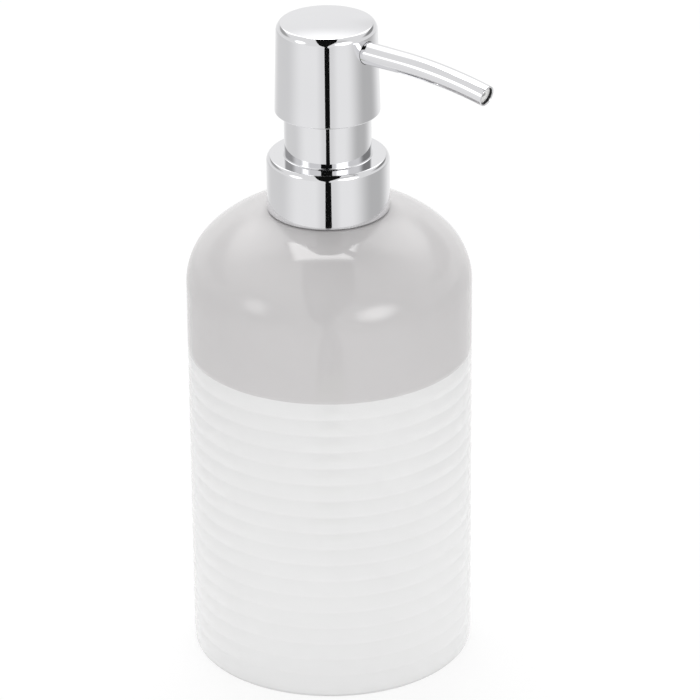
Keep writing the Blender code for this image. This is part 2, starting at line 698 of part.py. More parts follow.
def make_retainer(collection, cutters, material):
    """Cup that seats the spring, with flow holes round a hub that limits the ball's lift."""
    rim_bore = PLUG_RADIUS - RETAINER_RIM_WALL
    floor_top = RETAINER_SEAT + RETAINER_FLOOR
    points = [
        (0, floor_top),
        (rim_bore, floor_top),
        (rim_bore, floor_top + RETAINER_RIM),
        (PLUG_RADIUS, floor_top + RETAINER_RIM),
        (PLUG_RADIUS, RETAINER_SEAT),
        (RETAINER_HUB_RADIUS, RETAINER_SEAT),
        (RETAINER_HUB_RADIUS, RETAINER_HUB_FOOT),
        (0, RETAINER_HUB_FOOT),
    ]
    retainer = spin("ball_retainer", points, False, PUMP_STEPS, collection, material)
    places = []
    for hole in range(RETAINER_HOLE_COUNT):
        turn = FULL_TURN * hole / RETAINER_HOLE_COUNT
        along = RETAINER_HOLE_CIRCLE * math.cos(turn)
        across = RETAINER_HOLE_CIRCLE * math.sin(turn)
        places.append((along, across, RETAINER_SEAT + RETAINER_FLOOR / 2))
    length = RETAINER_FLOOR + 2 * CUT_OVERRUN
    boolean(retainer, rods("flow_hole_cutter", places, RETAINER_HOLE_RADIUS, length, SMALL_STEPS // 2, cutters))
    return retainer


def spring_points():
    """Helix with one closed turn at each end and straight level tails one wire long."""
    wire_radius = SPRING_WIRE / 2
    foot = SPRING_FOOT + wire_radius
    end_pitch = SPRING_WIRE + SPRING_END_GAP
    active_rise = SPRING_TOP - wire_radius - foot - 2 * end_pitch
    turns = SPRING_ACTIVE_TURNS + 2
    points = []
    for step in range(turns * SPRING_POINTS_PER_TURN + 1):
        turn = step / SPRING_POINTS_PER_TURN
        inside = min(max(turn - 1, 0), SPRING_ACTIVE_TURNS)
        closed = min(turn, 1) + max(turn - 1 - SPRING_ACTIVE_TURNS, 0)
        height = foot + closed * end_pitch + inside * active_rise / SPRING_ACTIVE_TURNS
        angle = FULL_TURN * turn
        points.append(Vector((SPRING_RADIUS * math.cos(angle), SPRING_RADIUS * math.sin(angle), height)))
    points.insert(0, points[0] - Vector((0, SPRING_WIRE, 0)))
    points.append(points[-1] + Vector((0, SPRING_WIRE, 0)))
    return points


def least_self_gap(points, diameter):
    """Least gap between stretches of a wound wire that lie more than half a turn apart along it."""
    places = np.array([tuple(point) for point in points])
    share = np.linspace(0, 1, 5)[:, None]
    pieces = [places[k] + share * (places[k + 1] - places[k]) for k in range(len(places) - 1)]
    least = math.inf
    for first in range(len(pieces)):
        for second in range(first + SPRING_POINTS_PER_TURN // 2 + 1, len(pieces)):
            apart = np.linalg.norm(pieces[first][:, None] - pieces[second][None], axis=2)
            least = min(least, float(apart.min()))
    return least - diameter


def make_spring(collection, material):
    points = spring_points()
    print("return_spring least gap to itself, mm:", round(least_self_gap(points, SPRING_WIRE) / MM, 3))
    radii = [SPRING_WIRE / 2] * len(points)
    return wire("return_spring", points, radii, 6, collection, material)


def make_dip_tube(collection, cutters, material):
    """Suction tube, cut obliquely at its foot so that it can't seal against the floor."""
    points = tube_points(DIP_TUBE_RADIUS, DIP_TUBE_RADIUS - DIP_TUBE_WALL, DIP_TUBE_FOOT, DIP_TUBE_TOP)
    tube = spin("dip_tube", points, True, SMALL_STEPS, collection, material)
    size = 4 * DIP_TUBE_RADIUS
    rise = DIP_TUBE_RADIUS * math.tan(DIP_TUBE_CUT_ANGLE)
    knife = block("dip_tube_cutter", (2 * size, size, size), (0, 0, -size / 2), cutters)
    knife.location = (0, 0, DIP_TUBE_FOOT + rise)
    knife.rotation_euler = (0, DIP_TUBE_CUT_ANGLE, 0)
    boolean(tube, knife)
    return tube


def spout_path(start, overrun=0):
    """Centre line of the spout: level out of the button, then a gentle downward bend to the tip."""
    points = [Vector((start - overrun, 0, SPOUT_HEIGHT)), Vector((SPOUT_STRAIGHT, 0, SPOUT_HEIGHT))]
    full_bend = math.asin((SPOUT_REACH - SPOUT_STRAIGHT) / SPOUT_BEND_RADIUS)
    for step in range(1, SPOUT_BEND_POINTS + 1):
        bend = full_bend * step / SPOUT_BEND_POINTS
        along = SPOUT_STRAIGHT + SPOUT_BEND_RADIUS * math.sin(bend)
        drop = SPOUT_BEND_RADIUS * (1 - math.cos(bend))
        points.append(Vector((along, 0, SPOUT_HEIGHT - drop)))
    points[-1] += Vector((math.cos(full_bend), 0, -math.sin(full_bend))) * overrun
    return points


def spout_radii(points):
    """The tube narrows evenly from the button to its tip."""
    taper = (SPOUT_ROOT_RADIUS - SPOUT_TIP_RADIUS) / (SPOUT_REACH - CORE_SPOUT_START)
    return [SPOUT_ROOT_RADIUS - taper * (point.x - CORE_SPOUT_START) for point in points]


def make_spout(collection, cutters, material):
    path = spout_path(CORE_SPOUT_START)
    spout = wire("spout_tube", path, spout_radii(path), 12, collection, material)
    bore_path = spout_path(CORE_SPOUT_START, CUT_OVERRUN)
    bore_radii = [radius - SPOUT_WALL for radius in spout_radii(bore_path)]
    boolean(spout, as_cutter(wire("spout_bore_cutter", bore_path, bore_radii, 12, cutters)))
    return spout


def make_core(collection, cutters, material):
    """White moulding in the button: stem socket, channel to the spout, spout boss, and ribs under a top flange."""
    points = [
        (0, CORE_TOP),
        (CORE_FLANGE_RADIUS, CORE_TOP),
        (CORE_FLANGE_RADIUS, CORE_TOP - CORE_FLANGE_THICKNESS),
        (CORE_HUB_RADIUS, CORE_TOP - CORE_FLANGE_THICKNESS),
        (CORE_HUB_RADIUS, CORE_FOOT),
        (0, CORE_FOOT),
    ]
    core = spin("actuator_core", points, False, PUMP_STEPS, collection, material)
    rib_top = CORE_TOP - CORE_FLANGE_THICKNESS / 2
    rib_height = CORE_RIB_DEPTH - CORE_FLANGE_THICKNESS / 2
    for rib in range(CORE_RIB_COUNT):
        size = (2 * CORE_FLANGE_RADIUS - 2 * CORE_FLANGE_GAP, CORE_RIB_THICKNESS, rib_height)
        blade = block(f"core_rib_{rib + 1}", size, (0, 0, rib_top - rib_height / 2), cutters)
        blade.rotation_euler = (0, 0, math.pi * (rib + 1 / 2) / CORE_RIB_COUNT)
        boolean(core, blade, "UNION")
    boss_radius = CORE_TOP - SPOUT_HEIGHT - CORE_BOSS_MARGIN
    boss_length = CORE_FLANGE_RADIUS - CORE_FLANGE_GAP
    boss = rods("core_boss", [(0, 0, boss_length / 2)], boss_radius, boss_length, SMALL_STEPS, cutters)
    boss.location = (0, 0, SPOUT_HEIGHT)
    boss.rotation_euler = (0, math.pi / 2, 0)
    boolean(core, boss, "UNION")
    upright = [
        (0, SPOUT_HEIGHT),
        (CORE_CHANNEL_RADIUS, SPOUT_HEIGHT),
        (CORE_CHANNEL_RADIUS, CORE_FOOT + CORE_SOCKET_LENGTH),
        (CORE_SOCKET_RADIUS, CORE_FOOT + CORE_SOCKET_LENGTH),
        (CORE_SOCKET_RADIUS, CORE_FOOT - CUT_OVERRUN),
        (0, CORE_FOOT - CUT_OVERRUN),
    ]
    boolean(core, as_cutter(spin("stem_socket_cutter", upright, False, SMALL_STEPS, cutters)))
    reach = CORE_FLANGE_RADIUS + CUT_OVERRUN
    across = [
        (0, reach),
        (CORE_SPOUT_BORE, reach),
        (CORE_SPOUT_BORE, CORE_SPOUT_START - SEAT_GAP),
        (CORE_CHANNEL_RADIUS, CORE_SPOUT_START - SEAT_GAP),
        (CORE_CHANNEL_RADIUS, -CORE_CHANNEL_RADIUS / 2),
        (0, -CORE_CHANNEL_RADIUS / 2),
    ]
    bore = as_cutter(spin("spout_socket_cutter", across, False, SMALL_STEPS, cutters))
    bore.location = (0, 0, SPOUT_HEIGHT)
    bore.rotation_euler = (0, math.pi / 2, 0)
    boolean(core, bore)
    return core


def make_button(collection, cutters, material):
    """Chrome cap: slightly tapered skirt, rounded rim, faintly crowned top, and a hole for the spout."""
    inner_top = BUTTON_TOP_RADIUS - BUTTON_WALL
    inner_foot = BUTTON_FOOT_RADIUS - BUTTON_WALL
    roof = BUTTON_RIM - BUTTON_ROOF
    crown_half = BUTTON_TOP_RADIUS / 2
    corners = [
        (0, BUTTON_TOP),
        (crown_half, BUTTON_TOP - BUTTON_CROWN / 4),
        *rim_points(BUTTON_TOP_RADIUS, BUTTON_RIM, BUTTON_SHOULDER, BUTTON_EDGE, BUTTON_LEAN),
        (BUTTON_FOOT_RADIUS, BUTTON_FOOT, BUTTON_FOOT_FILLET),
        (inner_foot, BUTTON_FOOT),
        (inner_top, roof, BUTTON_INNER_FILLET),
        (0, roof),
    ]
    button = spin("button_shell", outline(corners), False, CHROME_STEPS, collection, material)
    reach = BUTTON_FOOT_RADIUS + CUT_OVERRUN - CORE_HUB_RADIUS
    hole_radius = SPOUT_ROOT_RADIUS + CHROME_GAP
    hole = rods("spout_hole_cutter", [(0, 0, reach / 2)], hole_radius, reach, CHROME_STEPS // 2, cutters)
    hole.location = (CORE_HUB_RADIUS, 0, SPOUT_HEIGHT)
    hole.rotation_euler = (0, math.pi / 2, 0)
    boolean(button, hole)
    return button


def axis_empty(name, height, collection, parent=None):
    """Empty on a joint's axis, which carries the pieces that move with it."""
    empty = bpy.data.objects.new(name, None)
    empty.empty_display_type = "SINGLE_ARROW"
    empty.empty_display_size = SPOUT_REACH / 2
    empty.location = (0, 0, height)
    collection.objects.link(empty)
    if parent:
        carry(parent, empty)
    return empty


def carry(parent, *children):
    """Parents pieces where they stand."""
    bpy.context.view_layer.update()
    for child in children:
        child.parent = parent
        child.matrix_parent_inverse = parent.matrix_world.inverted()


def main():
    clear_scene()
    parts = new_collection("soap_dispenser")
    cutters = new_collection("cutters")
    chrome = new_material("chrome", CHROME, 0.08, 1.0)
    white = new_material("white_plastic", WHITE_PLASTIC, 0.4)
    natural = new_material("natural_plastic", NATURAL_PLASTIC, 0.35)
    steel = new_material("stainless_steel", STAINLESS, 0.25, 1.0)
    foam = new_material("seal_foam", SEAL_FOAM, 0.8)
    grey_glaze = new_material("grey_glaze", GREY_GLAZE, 0.12)
    white_glaze = new_material("white_glaze", WHITE_GLAZE, 0.2)

    make_bottle(parts, grey_glaze, white_glaze)
    make_neck_insert(parts, white)

    lift = axis_empty("pump_lift_axis", GASKET_FOOT, parts)
    turn = axis_empty("closure_turn_axis", CLOSURE_FOOT, parts, lift)
    press = axis_empty("press_axis", SHOULDER_TOP, parts, lift)
    swivel = axis_empty("head_swivel_axis", CORE_FOOT, parts, press)
    lag = axis_empty("piston_lag_axis", PISTON_FOOT, parts, press)
    hop = axis_empty("ball_lift_axis", BALL_CENTRE, parts, lift)

    carry(
        lift,
        make_gasket(parts, foam),
        make_housing(parts, cutters, natural),
        make_guide_cap(parts, white),
        make_retainer(parts, cutters, natural),
        make_spring(parts, steel),
        make_dip_tube(parts, cutters, natural),
    )
    carry(turn, make_closure(parts, white), make_collar_shell(parts, chrome), make_sleeve(parts, chrome))
    carry(press, make_stem(parts, natural), make_valve_pin(parts, cutters, white))
    carry(lag, make_piston(parts, natural))
    carry(hop, make_ball(parts, steel))
    carry(
        swivel,
        make_core(parts, cutters, white),
        make_button(parts, cutters, chrome),
        make_spout(parts, cutters, chrome),
    )
    bpy.context.view_layer.update()


main()
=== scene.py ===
"""A countertop soap dispenser: a ribbed ceramic bottle under two glazes, with a chrome press pump."""

import math

import bmesh
import bpy
from bpy.props import FloatProperty, FloatVectorProperty, IntProperty, PointerProperty
from mathutils import Matrix, Vector


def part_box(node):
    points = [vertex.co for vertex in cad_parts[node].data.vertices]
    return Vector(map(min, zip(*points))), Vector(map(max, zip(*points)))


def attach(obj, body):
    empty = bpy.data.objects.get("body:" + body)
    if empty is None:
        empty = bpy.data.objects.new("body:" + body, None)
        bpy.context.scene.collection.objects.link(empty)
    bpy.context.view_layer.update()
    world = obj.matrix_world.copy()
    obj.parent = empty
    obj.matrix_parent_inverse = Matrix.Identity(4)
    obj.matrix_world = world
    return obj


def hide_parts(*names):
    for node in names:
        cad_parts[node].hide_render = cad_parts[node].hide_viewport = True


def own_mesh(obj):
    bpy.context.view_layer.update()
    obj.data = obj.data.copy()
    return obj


bl_info = {
    "name": "Soap Dispenser",
    "version": (1, 0, 0),
    "blender": (4, 5, 0),
    "location": "3D View > Sidebar > Dispenser",
    "description": "Builds a ribbed ceramic soap dispenser with a chrome press pump, and its studio",
    "category": "Add Mesh",
}

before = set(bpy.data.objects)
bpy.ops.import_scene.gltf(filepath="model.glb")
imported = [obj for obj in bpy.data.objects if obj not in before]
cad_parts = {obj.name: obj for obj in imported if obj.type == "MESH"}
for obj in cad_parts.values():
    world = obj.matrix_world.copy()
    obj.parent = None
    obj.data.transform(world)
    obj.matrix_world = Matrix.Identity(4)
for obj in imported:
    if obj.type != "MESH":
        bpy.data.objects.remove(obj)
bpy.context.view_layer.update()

MM = 0.001
FULL_TURN = 2 * math.pi
# A ring nearer the axis than this is a single point
POLE_REACH = 0.001 * MM
# Faces that meet at more than this are shaded with a sharp edge
SHARP_ANGLE = math.radians(32)
# A straight run is long when it is this many times the run beside it
HOLD_RATIO = 6
SPOUTWARD = Vector((1, 0, 0))

# Fillets of small edges, from the sharpest
HAIR_EDGE = 0.1 * MM
THIN_EDGE = 0.15 * MM
EDGE = 0.2 * MM
FLANGE_EDGE = 0.25 * MM
SOFT_EDGE = 0.3 * MM
ROUND_EDGE = 0.4 * MM
WIDE_EDGE = 0.5 * MM
NECKED_EDGE = 0.8 * MM

# Small sizes, turns and amounts that are fixed, because no setting changes them
SEAT_GAP = 0.3 * MM
CUT_OVERRUN = 2.0 * MM
INSERT_FLANGE = 1.0 * MM
THREAD_TURNS = 1.35
NECK_THREAD_START = 1.0 * MM
CLOSURE_THREAD_START = 0.9 * MM
CLOSURE_ROOF = 1.2 * MM
SLEEVE_FLANGE = 0.7 * MM
BEAD_LIFT = 0.004 * MM
GLAZE_WAVER = 0.04 * MM
GLAZE_BLEED = 0.05 * MM
BARE_RISE = (0.1 * MM, 0.3 * MM)
CLAY_ROUGHNESS = 0.6
HOUSING_WALL = 1.1 * MM
HOUSING_TOWER = 1.7 * MM
HOUSING_FLANGE = 1.0 * MM
CHAMBER_DEPTH = 45.0 * MM
SOCKET_TAPER = 4.0 * MM
POCKET_RADIUS = 3.0 * MM
POCKET_DEPTH = 4.5 * MM
CONE_HEIGHT = 1.8 * MM
INLET_RADIUS = 1.4 * MM
INLET_LENGTH = 2.0 * MM
SOCKET_RADIUS = 3.9 * MM
SOCKET_BORE = 2.9 * MM
VENT_RISE = 3.5 * MM
VENT_RADIUS = 0.6 * MM
VENT_OVERRUN = 1.0 * MM
DIP_TUBE_WALL = 0.8 * MM
DIP_TUBE_CUT = math.radians(35)
THROAT_CORNER = 0.02 * MM
OUTLET_CHAMFER = 0.1 * MM
OUTLET_DEPTH = 0.6 * MM
LIP_START = 1.3

# Margins that keep a row of points on its own side of a limit
ROW_MARGIN = 0.0001
HEIGHT_MARGIN = 0.01 * MM
WALL_MARGIN = 0.1 * MM

# Points along curves and faces round pieces
CAP_SEGMENTS = 128
TUBE_SEGMENTS = 96
SPOUT_SEGMENTS = 72
VENT_SEGMENTS = 32
GLAZE_STEP_ROWS = 8
ROWS_PER_RIB = 12
CROWN_ROWS = 12
STRAIGHT_ROWS = 8
BEND_ROWS = 24
LIP_ROWS = 16
RIM_EDGE_ROWS = 8
RIM_SHOULDER_ROWS = 14
BEAD_ROWS = 10
INNER_DOME_ROWS = 14
OUTER_DOME_ROWS = 26
THREAD_BAR_SEGMENTS = 14
SPRING_BAR_SEGMENTS = 16

# Most of a side that one fillet may take
FILLET_SHARE = 0.48

# Share of a thread's length over which it fades, and thickness that is left at its ends
THREAD_FADE = 0.08
THREAD_END = 0.05

# Values of noise between which an effect runs its whole way
CLOUDING_RANGE = (0.3, 0.7)
SMUDGE_RANGE = (0.35, 0.7)

# Foam cells in a metre, and depth of the dimple on each
FOAM_CELLS = 3500
FOAM_DIMPLE = 0.04 * MM

# Room between nodes that are laid out
NODE_COLUMN = 240
NODE_ROW = 260

# Camera's sensor in millimetres, and nearest and farthest distance that it sees
SENSOR_WIDTH = 36
CAMERA_NEAR, CAMERA_FAR = 0.05, 20


def reach(node):
    """Radius of a turned CAD node, from its box."""
    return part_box(node)[1].y


def top(node):
    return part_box(node)[1].z


def span(node):
    """Outside radius, foot and top of a turned CAD node."""
    return reach(node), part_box(node)[0].z, top(node)


# Settings


def number(name, description, default, **more):
    return FloatProperty(name=name, description=description, default=default, **more)


def length(name, description, default, soft_max=0.2):
    return number(name, description, default, min=0, soft_max=soft_max, unit="LENGTH", precision=5)


def angle(name, description, degrees):
    return number(name, description, math.radians(degrees), subtype="ANGLE")


def proportion(name, description, default):
    return number(name, description, default, min=0, max=1, subtype="FACTOR")


def strength(name, description, default):
    return number(name, description, default, min=0, soft_max=10)


def colour(name, description, default):
    return FloatVectorProperty(
        name=name, description=description, default=default, size=3, min=0, max=1, subtype="COLOR"
    )


def count(name, description, default):
    return IntProperty(name=name, description=description, default=default, min=3, soft_max=256)


class BottleSettings(bpy.types.PropertyGroup):
    """Sizes and glazes of the ceramic bottle."""

    radius: length("Radius", "Outside radius of the straight wall", reach("ceramic_bottle"))
    wall: length("Wall", "Thickness of the wall", 4.2 * MM)
    floor: length("Floor", "Thickness of the floor", 5.0 * MM)
    floor_fillet: length("Floor Fillet", "Radius where the floor meets the wall inside", 4.0 * MM)
    foot_fillet: length("Foot Fillet", "Radius of the outer edge that the bottle stands on", 1.8 * MM)
    foot_ring: length("Foot Ring", "Width of the unglazed ring that the bottle stands on", 6.5 * MM)
    foot_recess: length("Foot Recess", "Depth of the hollow inside the foot ring", 0.5 * MM)
    glaze_line: length("Glaze Line", "Height at which the grey glaze ends", 86.4 * MM)
    rib_count: count("Ribs", "Number of ribs below the glaze line", 18)
    rib_pitch: length("Rib Pitch", "Height of one rib", 4.7 * MM)
    rib_depth: length("Rib Depth", "Depth of the valleys between the ribs", 0.17 * MM)
    step_height: length("Glaze Step", "Height over which the wall rolls into the first valley", 1.2 * MM)
    shoulder_start: length("Shoulder Start", "Height at which the wall starts to turn in", 104.7 * MM)
    shoulder_radius: length("Shoulder Radius", "Radius of the turn from the wall to the dome", 17.1 * MM)
    shoulder_turn: angle("Shoulder Turn", "Angle of that turn", 43.8)
    dome_radius: length("Dome Radius", "Radius of the dome's outline", 30.1 * MM)
    mouth_radius: length("Mouth Radius", "Radius of the opening", 13.0 * MM)
    neck_radius: length("Neck Radius", "Radius of the short neck round the opening", 15.0 * MM)
    neck_fillet: length("Neck Fillet", "Radius of the neck's edges", 0.6 * MM)
    segments: count("Segments", "Faces round the bottle", 160)
    grey_glaze: colour("Grey Glaze", "Colour of the glaze on the shoulder", (0.60, 0.587, 0.589))
    white_glaze: colour("White Glaze", "Colour of the glaze on the ribs", (0.80, 0.80, 0.80))
    bare_clay: colour("Bare Clay", "Colour of the unglazed foot ring", (0.74, 0.70, 0.64))


class PumpSettings(bpy.types.PropertyGroup):
    """Sizes of the pump's pieces that the CAD boxes don't give."""

    chrome_wall: length("Collar Wall", "Thickness of the collar's wall", 0.6 * MM)
    collar_roof: length("Collar Top", "Thickness of the collar's flat top", 0.5 * MM)
    rim_turn: angle("Rim Turn", "Turn of a rim's gentle shoulder, before its tighter upper edge", 50)
    collar_shoulder: length("Collar Shoulder", "Radius of the shoulder of the collar's rim", 2.0 * MM)
    collar_edge: length("Collar Edge", "Radius of the upper edge of the collar's rim", 0.4 * MM)
    collar_inside: length("Collar Inner Fillet", "Radius under the collar's rim", 1.0 * MM)
    seam: length("Chrome Seam", "Gap between the sleeve and the collar's hole", 0.22 * MM)
    sleeve_bead: length("Sleeve Bead", "Hollow fillet that covers the seam at the sleeve's foot", 0.36 * MM)
    sleeve_radius: length("Sleeve Radius", "Outside radius of the sleeve", 11.33 * MM)
    sleeve_wall: length("Sleeve Wall", "Thickness of the sleeve", 0.7 * MM)
    button_rim: length("Button Rim Radius", "Outside radius of the button at its rim", 13.1 * MM)
    button_wall: length("Button Wall", "Thickness of the button's skirt", 1.1 * MM)
    button_roof: length("Button Top", "Thickness of the button's top", 1.3 * MM)
    button_crown: length("Button Crown", "Rise of the button's top", 0.4 * MM)
    button_shoulder: length("Button Shoulder", "Radius of the shoulder of the button's rim", 2.6 * MM)
    button_edge: length("Button Edge", "Radius of the upper edge of the button's rim", 0.6 * MM)
    button_inside: length("Button Inner Fillet", "Radius under the button's rim", 0.5 * MM)
    spout_height: length("Spout Height", "Height of the spout's centre line at the button", 171.437 * MM)
    spout_straight: length("Spout Straight", "Distance from the axis at which the bend starts", 24.0 * MM)
    spout_bend: length("Spout Bend", "Radius of the spout's bend", 125.0 * MM)
    spout_reach: length("Spout Reach", "Distance from the axis to the centre line's end", 50.6 * MM)
    spout_root: length("Spout Root Radius", "Outside radius of the spout in the button", 3.0 * MM)
    spout_tip: length("Spout Tip Radius", "Outside radius of the spout at its tip", 2.75 * MM)
    spout_wall: length("Spout Wall", "Thickness of the spout's tube", 1.1 * MM)
    spout_lip: length("Spout Lip", "Thickness of the plated tube at its mouth", 0.48 * MM)
    spout_throat: length("Spout Throat", "Depth from the mouth to the pale liner", 1.0 * MM)
    spout_outlet: length("Spout Outlet", "Radius of the hole in the liner's end", 0.75 * MM)
    spout_seam: length("Spout Seam", "Gap between the spout and the hole in the button", 0.1 * MM)
    neck_thread: length("Neck Radius", "Outside radius of the neck under its thread", 12.9 * MM)
    neck_wall: length("Neck Wall", "Thickness of the threaded neck", 1.4 * MM)
    thread_pitch: length("Thread Pitch", "Rise of the thread in one turn", 3.0 * MM)
    thread_ridge: length("Thread Ridge", "Radius of the thread's rounded ridge", 0.75 * MM)
    thread_height: length("Thread Height", "How far the ridge stands out of its wall", 0.42 * MM)
    closure_wall: length("Closure Wall", "Thickness of the screw closure", 1.2 * MM)
    housing_radius: length("Housing Radius", "Outside radius of the pump's cylinder", 6.7 * MM)
    spring_radius: length("Spring Radius", "Radius of the spring to the middle of its wire", 4.0 * MM)
    spring_wire: length("Spring Wire", "Thickness of the spring's wire", 0.9 * MM)
    spring_gap: length("Spring End Gap", "Gap between the closed turns at each end", 0.5 * MM)
    spring_turns: count("Spring Turns", "Number of active turns", 6)
    chrome: colour("Chrome", "Colour of the plating", (0.80, 0.80, 0.815))
    segments: count("Segments", "Faces round the chrome pieces", 144)


class StudioSettings(bpy.types.PropertyGroup):
    """Camera and light."""

    camera_side: angle("Camera Side", "How far round to the bottle's right the camera stands", 38.0)
    camera_distance: length("Camera Distance", "Level distance from the axis to the camera", 1.0404, 3)
    camera_height: length("Camera Height", "Height of the camera over the floor", 0.5795, 3)
    camera_pitch: angle("Camera Pitch", "How far the camera looks down", 25.463)
    camera_yaw: angle("Camera Yaw", "How far the camera looks to the right of the axis", 0.292)
    camera_roll: angle("Camera Roll", "How far the camera is tilted", -0.465)
    focal_length: number("Focal Length", "Focal length for a frame 36 mm wide", 224.2, unit="CAMERA")
    room_light: strength("Room Light", "Strength of the even light all round", 0.74)
    room_gloss: strength("Room Gloss", "Strength of the room in gloss, between its patches", 0.86)
    overhead_light: strength("Overhead Light", "Power of the soft light overhead, in watts", 3.9)
    overhead_gloss: strength("Overhead Gloss", "Strength of the soft light overhead in gloss", 5.3)
    right_light: strength("Right Light", "Power of the soft light on the right, in watts", 0.8)
    left_light: strength("Left Light", "Power of the soft light on the left, in watts", 0.5)
    back_light: strength("Back Light", "Power of the soft light behind, in watts", 2.2)
    table_light: strength("Table Light", "Power of the light that the table top throws up, in watts", 0.042)
    floor_share: proportion("Floor Shadow", "Share of the floor's light that the shadow takes away", 0.16)


# Meshes


def skin(name, rings, closed=False):
    """Mesh through rings of points. One point is a pole, and closed joins the last ring to the first."""
    shape = bmesh.new()
    rows = [[shape.verts.new(point) for point in ring] for ring in rings]
    pairs = list(zip(rows, rows[1:]))
    if closed:
        pairs.append((rows[-1], rows[0]))
    for near, far in pairs:
        around = max(len(near), len(far))
        for step in range(around):
            ahead = (step + 1) % around
            if len(near) == 1:
                corners = (near[0], far[ahead], far[step])
            elif len(far) == 1:
                corners = (near[step], near[ahead], far[0])
            else:
                corners = (near[step], near[ahead], far[ahead], far[step])
            shape.faces.new(corners)
    bmesh.ops.recalc_face_normals(shape, faces=shape.faces)
    mesh = bpy.data.meshes.new(name)
    shape.to_mesh(mesh)
    shape.free()
    piece = bpy.data.objects.new(name, mesh)
    bpy.context.scene.collection.objects.link(piece)
    return piece


def held(profile, closed):
    """Adds a point beside each end of a long straight run, so that it shades flat next to rounded edges."""
    points = [Vector(point) for point in profile]
    runs = [(ahead - here).length for here, ahead in zip(points, points[1:] + points[:1])]
    result = []
    for index, here in enumerate(points):
        result.append(tuple(here))
        if index == len(points) - 1 and not closed:
            break
        run = runs[index]
        ahead = points[(index + 1) % len(points)]
        before, after = runs[index - 1], runs[(index + 1) % len(points)]
        if HOLD_RATIO * before < run:
            result.append(tuple(here.lerp(ahead, before / run)))
        if HOLD_RATIO * after < run:
            result.append(tuple(here.lerp(ahead, 1 - after / run)))
    return result


def turned(name, profile, segments, closed=True):
    """Piece whose profile of (radius, height) points is turned about the Z axis."""
    rings = []
    for radius, height in held(profile, closed):
        if radius < POLE_REACH:
            rings.append([(0, 0, height)])
            continue
        turns = [FULL_TURN * step / segments for step in range(segments)]
        rings.append([(radius * math.cos(turn), radius * math.sin(turn), height) for turn in turns])
    return skin(name, rings, closed)


def arc(centre, radius, start, end, steps):
    """Points of an arc about a (radius, height) centre, with angles measured from the outward direction."""
    turns = [start + (end - start) * step / steps for step in range(steps + 1)]
    return [(centre[0] + radius * math.cos(turn), centre[1] + radius * math.sin(turn)) for turn in turns]


def rounded(corners, closed=True, steps=8):
    """Profile in which each corner given as (radius, height, fillet) is rounded."""
    points = []
    last = len(corners) - 1
    for index, corner in enumerate(corners):
        at_end = not closed and index in (0, last)
        if len(corner) == 2 or at_end:
            points.append(tuple(corner[:2]))
            continue
        here = Vector(corner[:2])
        back = Vector(corners[index - 1][:2]) - here
        ahead = Vector(corners[(index + 1) % len(corners)][:2]) - here
        half_angle = back.angle(ahead) / 2
        run = min(corner[2] / math.tan(half_angle), FILLET_SHARE * min(back.length, ahead.length))
        radius = run * math.tan(half_angle)
        centre = here + (back.normalized() + ahead.normalized()).normalized() * radius / math.sin(half_angle)
        first = here + back.normalized() * run - centre
        final = here + ahead.normalized() * run - centre
        sweep = math.atan2(first.x * final.y - first.y * final.x, first.dot(final))
        turns = [Matrix.Rotation(sweep * step / steps, 2) for step in range(steps + 1)]
        points += [tuple(centre + turn @ first) for turn in turns]
    return points


def rim(radius, height, shoulder, edge, turn, lean=0.0, slope=0.0):
    """Rim of a cap, from its top down to its wall: a tight edge that runs out into a gentler shoulder."""
    wide = (radius - shoulder, height - edge - (shoulder - edge) * math.sin(turn))
    tight = (wide[0] + (shoulder - edge) * math.cos(turn), height - edge)
    upper = arc(tight, edge, math.pi / 2 - slope, turn, RIM_EDGE_ROWS)
    return upper + arc(wide, shoulder, turn, lean, RIM_SHOULDER_ROWS)[1:]


def settle(piece):
    """Turns what the modifiers make into the piece's own plain mesh."""
    depsgraph = bpy.context.evaluated_depsgraph_get()
    mesh = bpy.data.meshes.new_from_object(piece.evaluated_get(depsgraph))
    piece.modifiers.clear()
    old = piece.data
    piece.data = mesh
    bpy.data.meshes.remove(old)
    mesh.name = piece.name


def finish_piece(piece, body, node, paint=None):
    """Gives a piece its material when one is given, says what it moves with, and hides the CAD node that it
    stands for.
    """
    if paint:
        piece.data.materials.clear()
        piece.data.materials.append(paint)
    piece.data.shade_smooth()
    piece.data.set_sharp_from_angle(angle=SHARP_ANGLE)
    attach(piece, body)
    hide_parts(node)


# Nodes


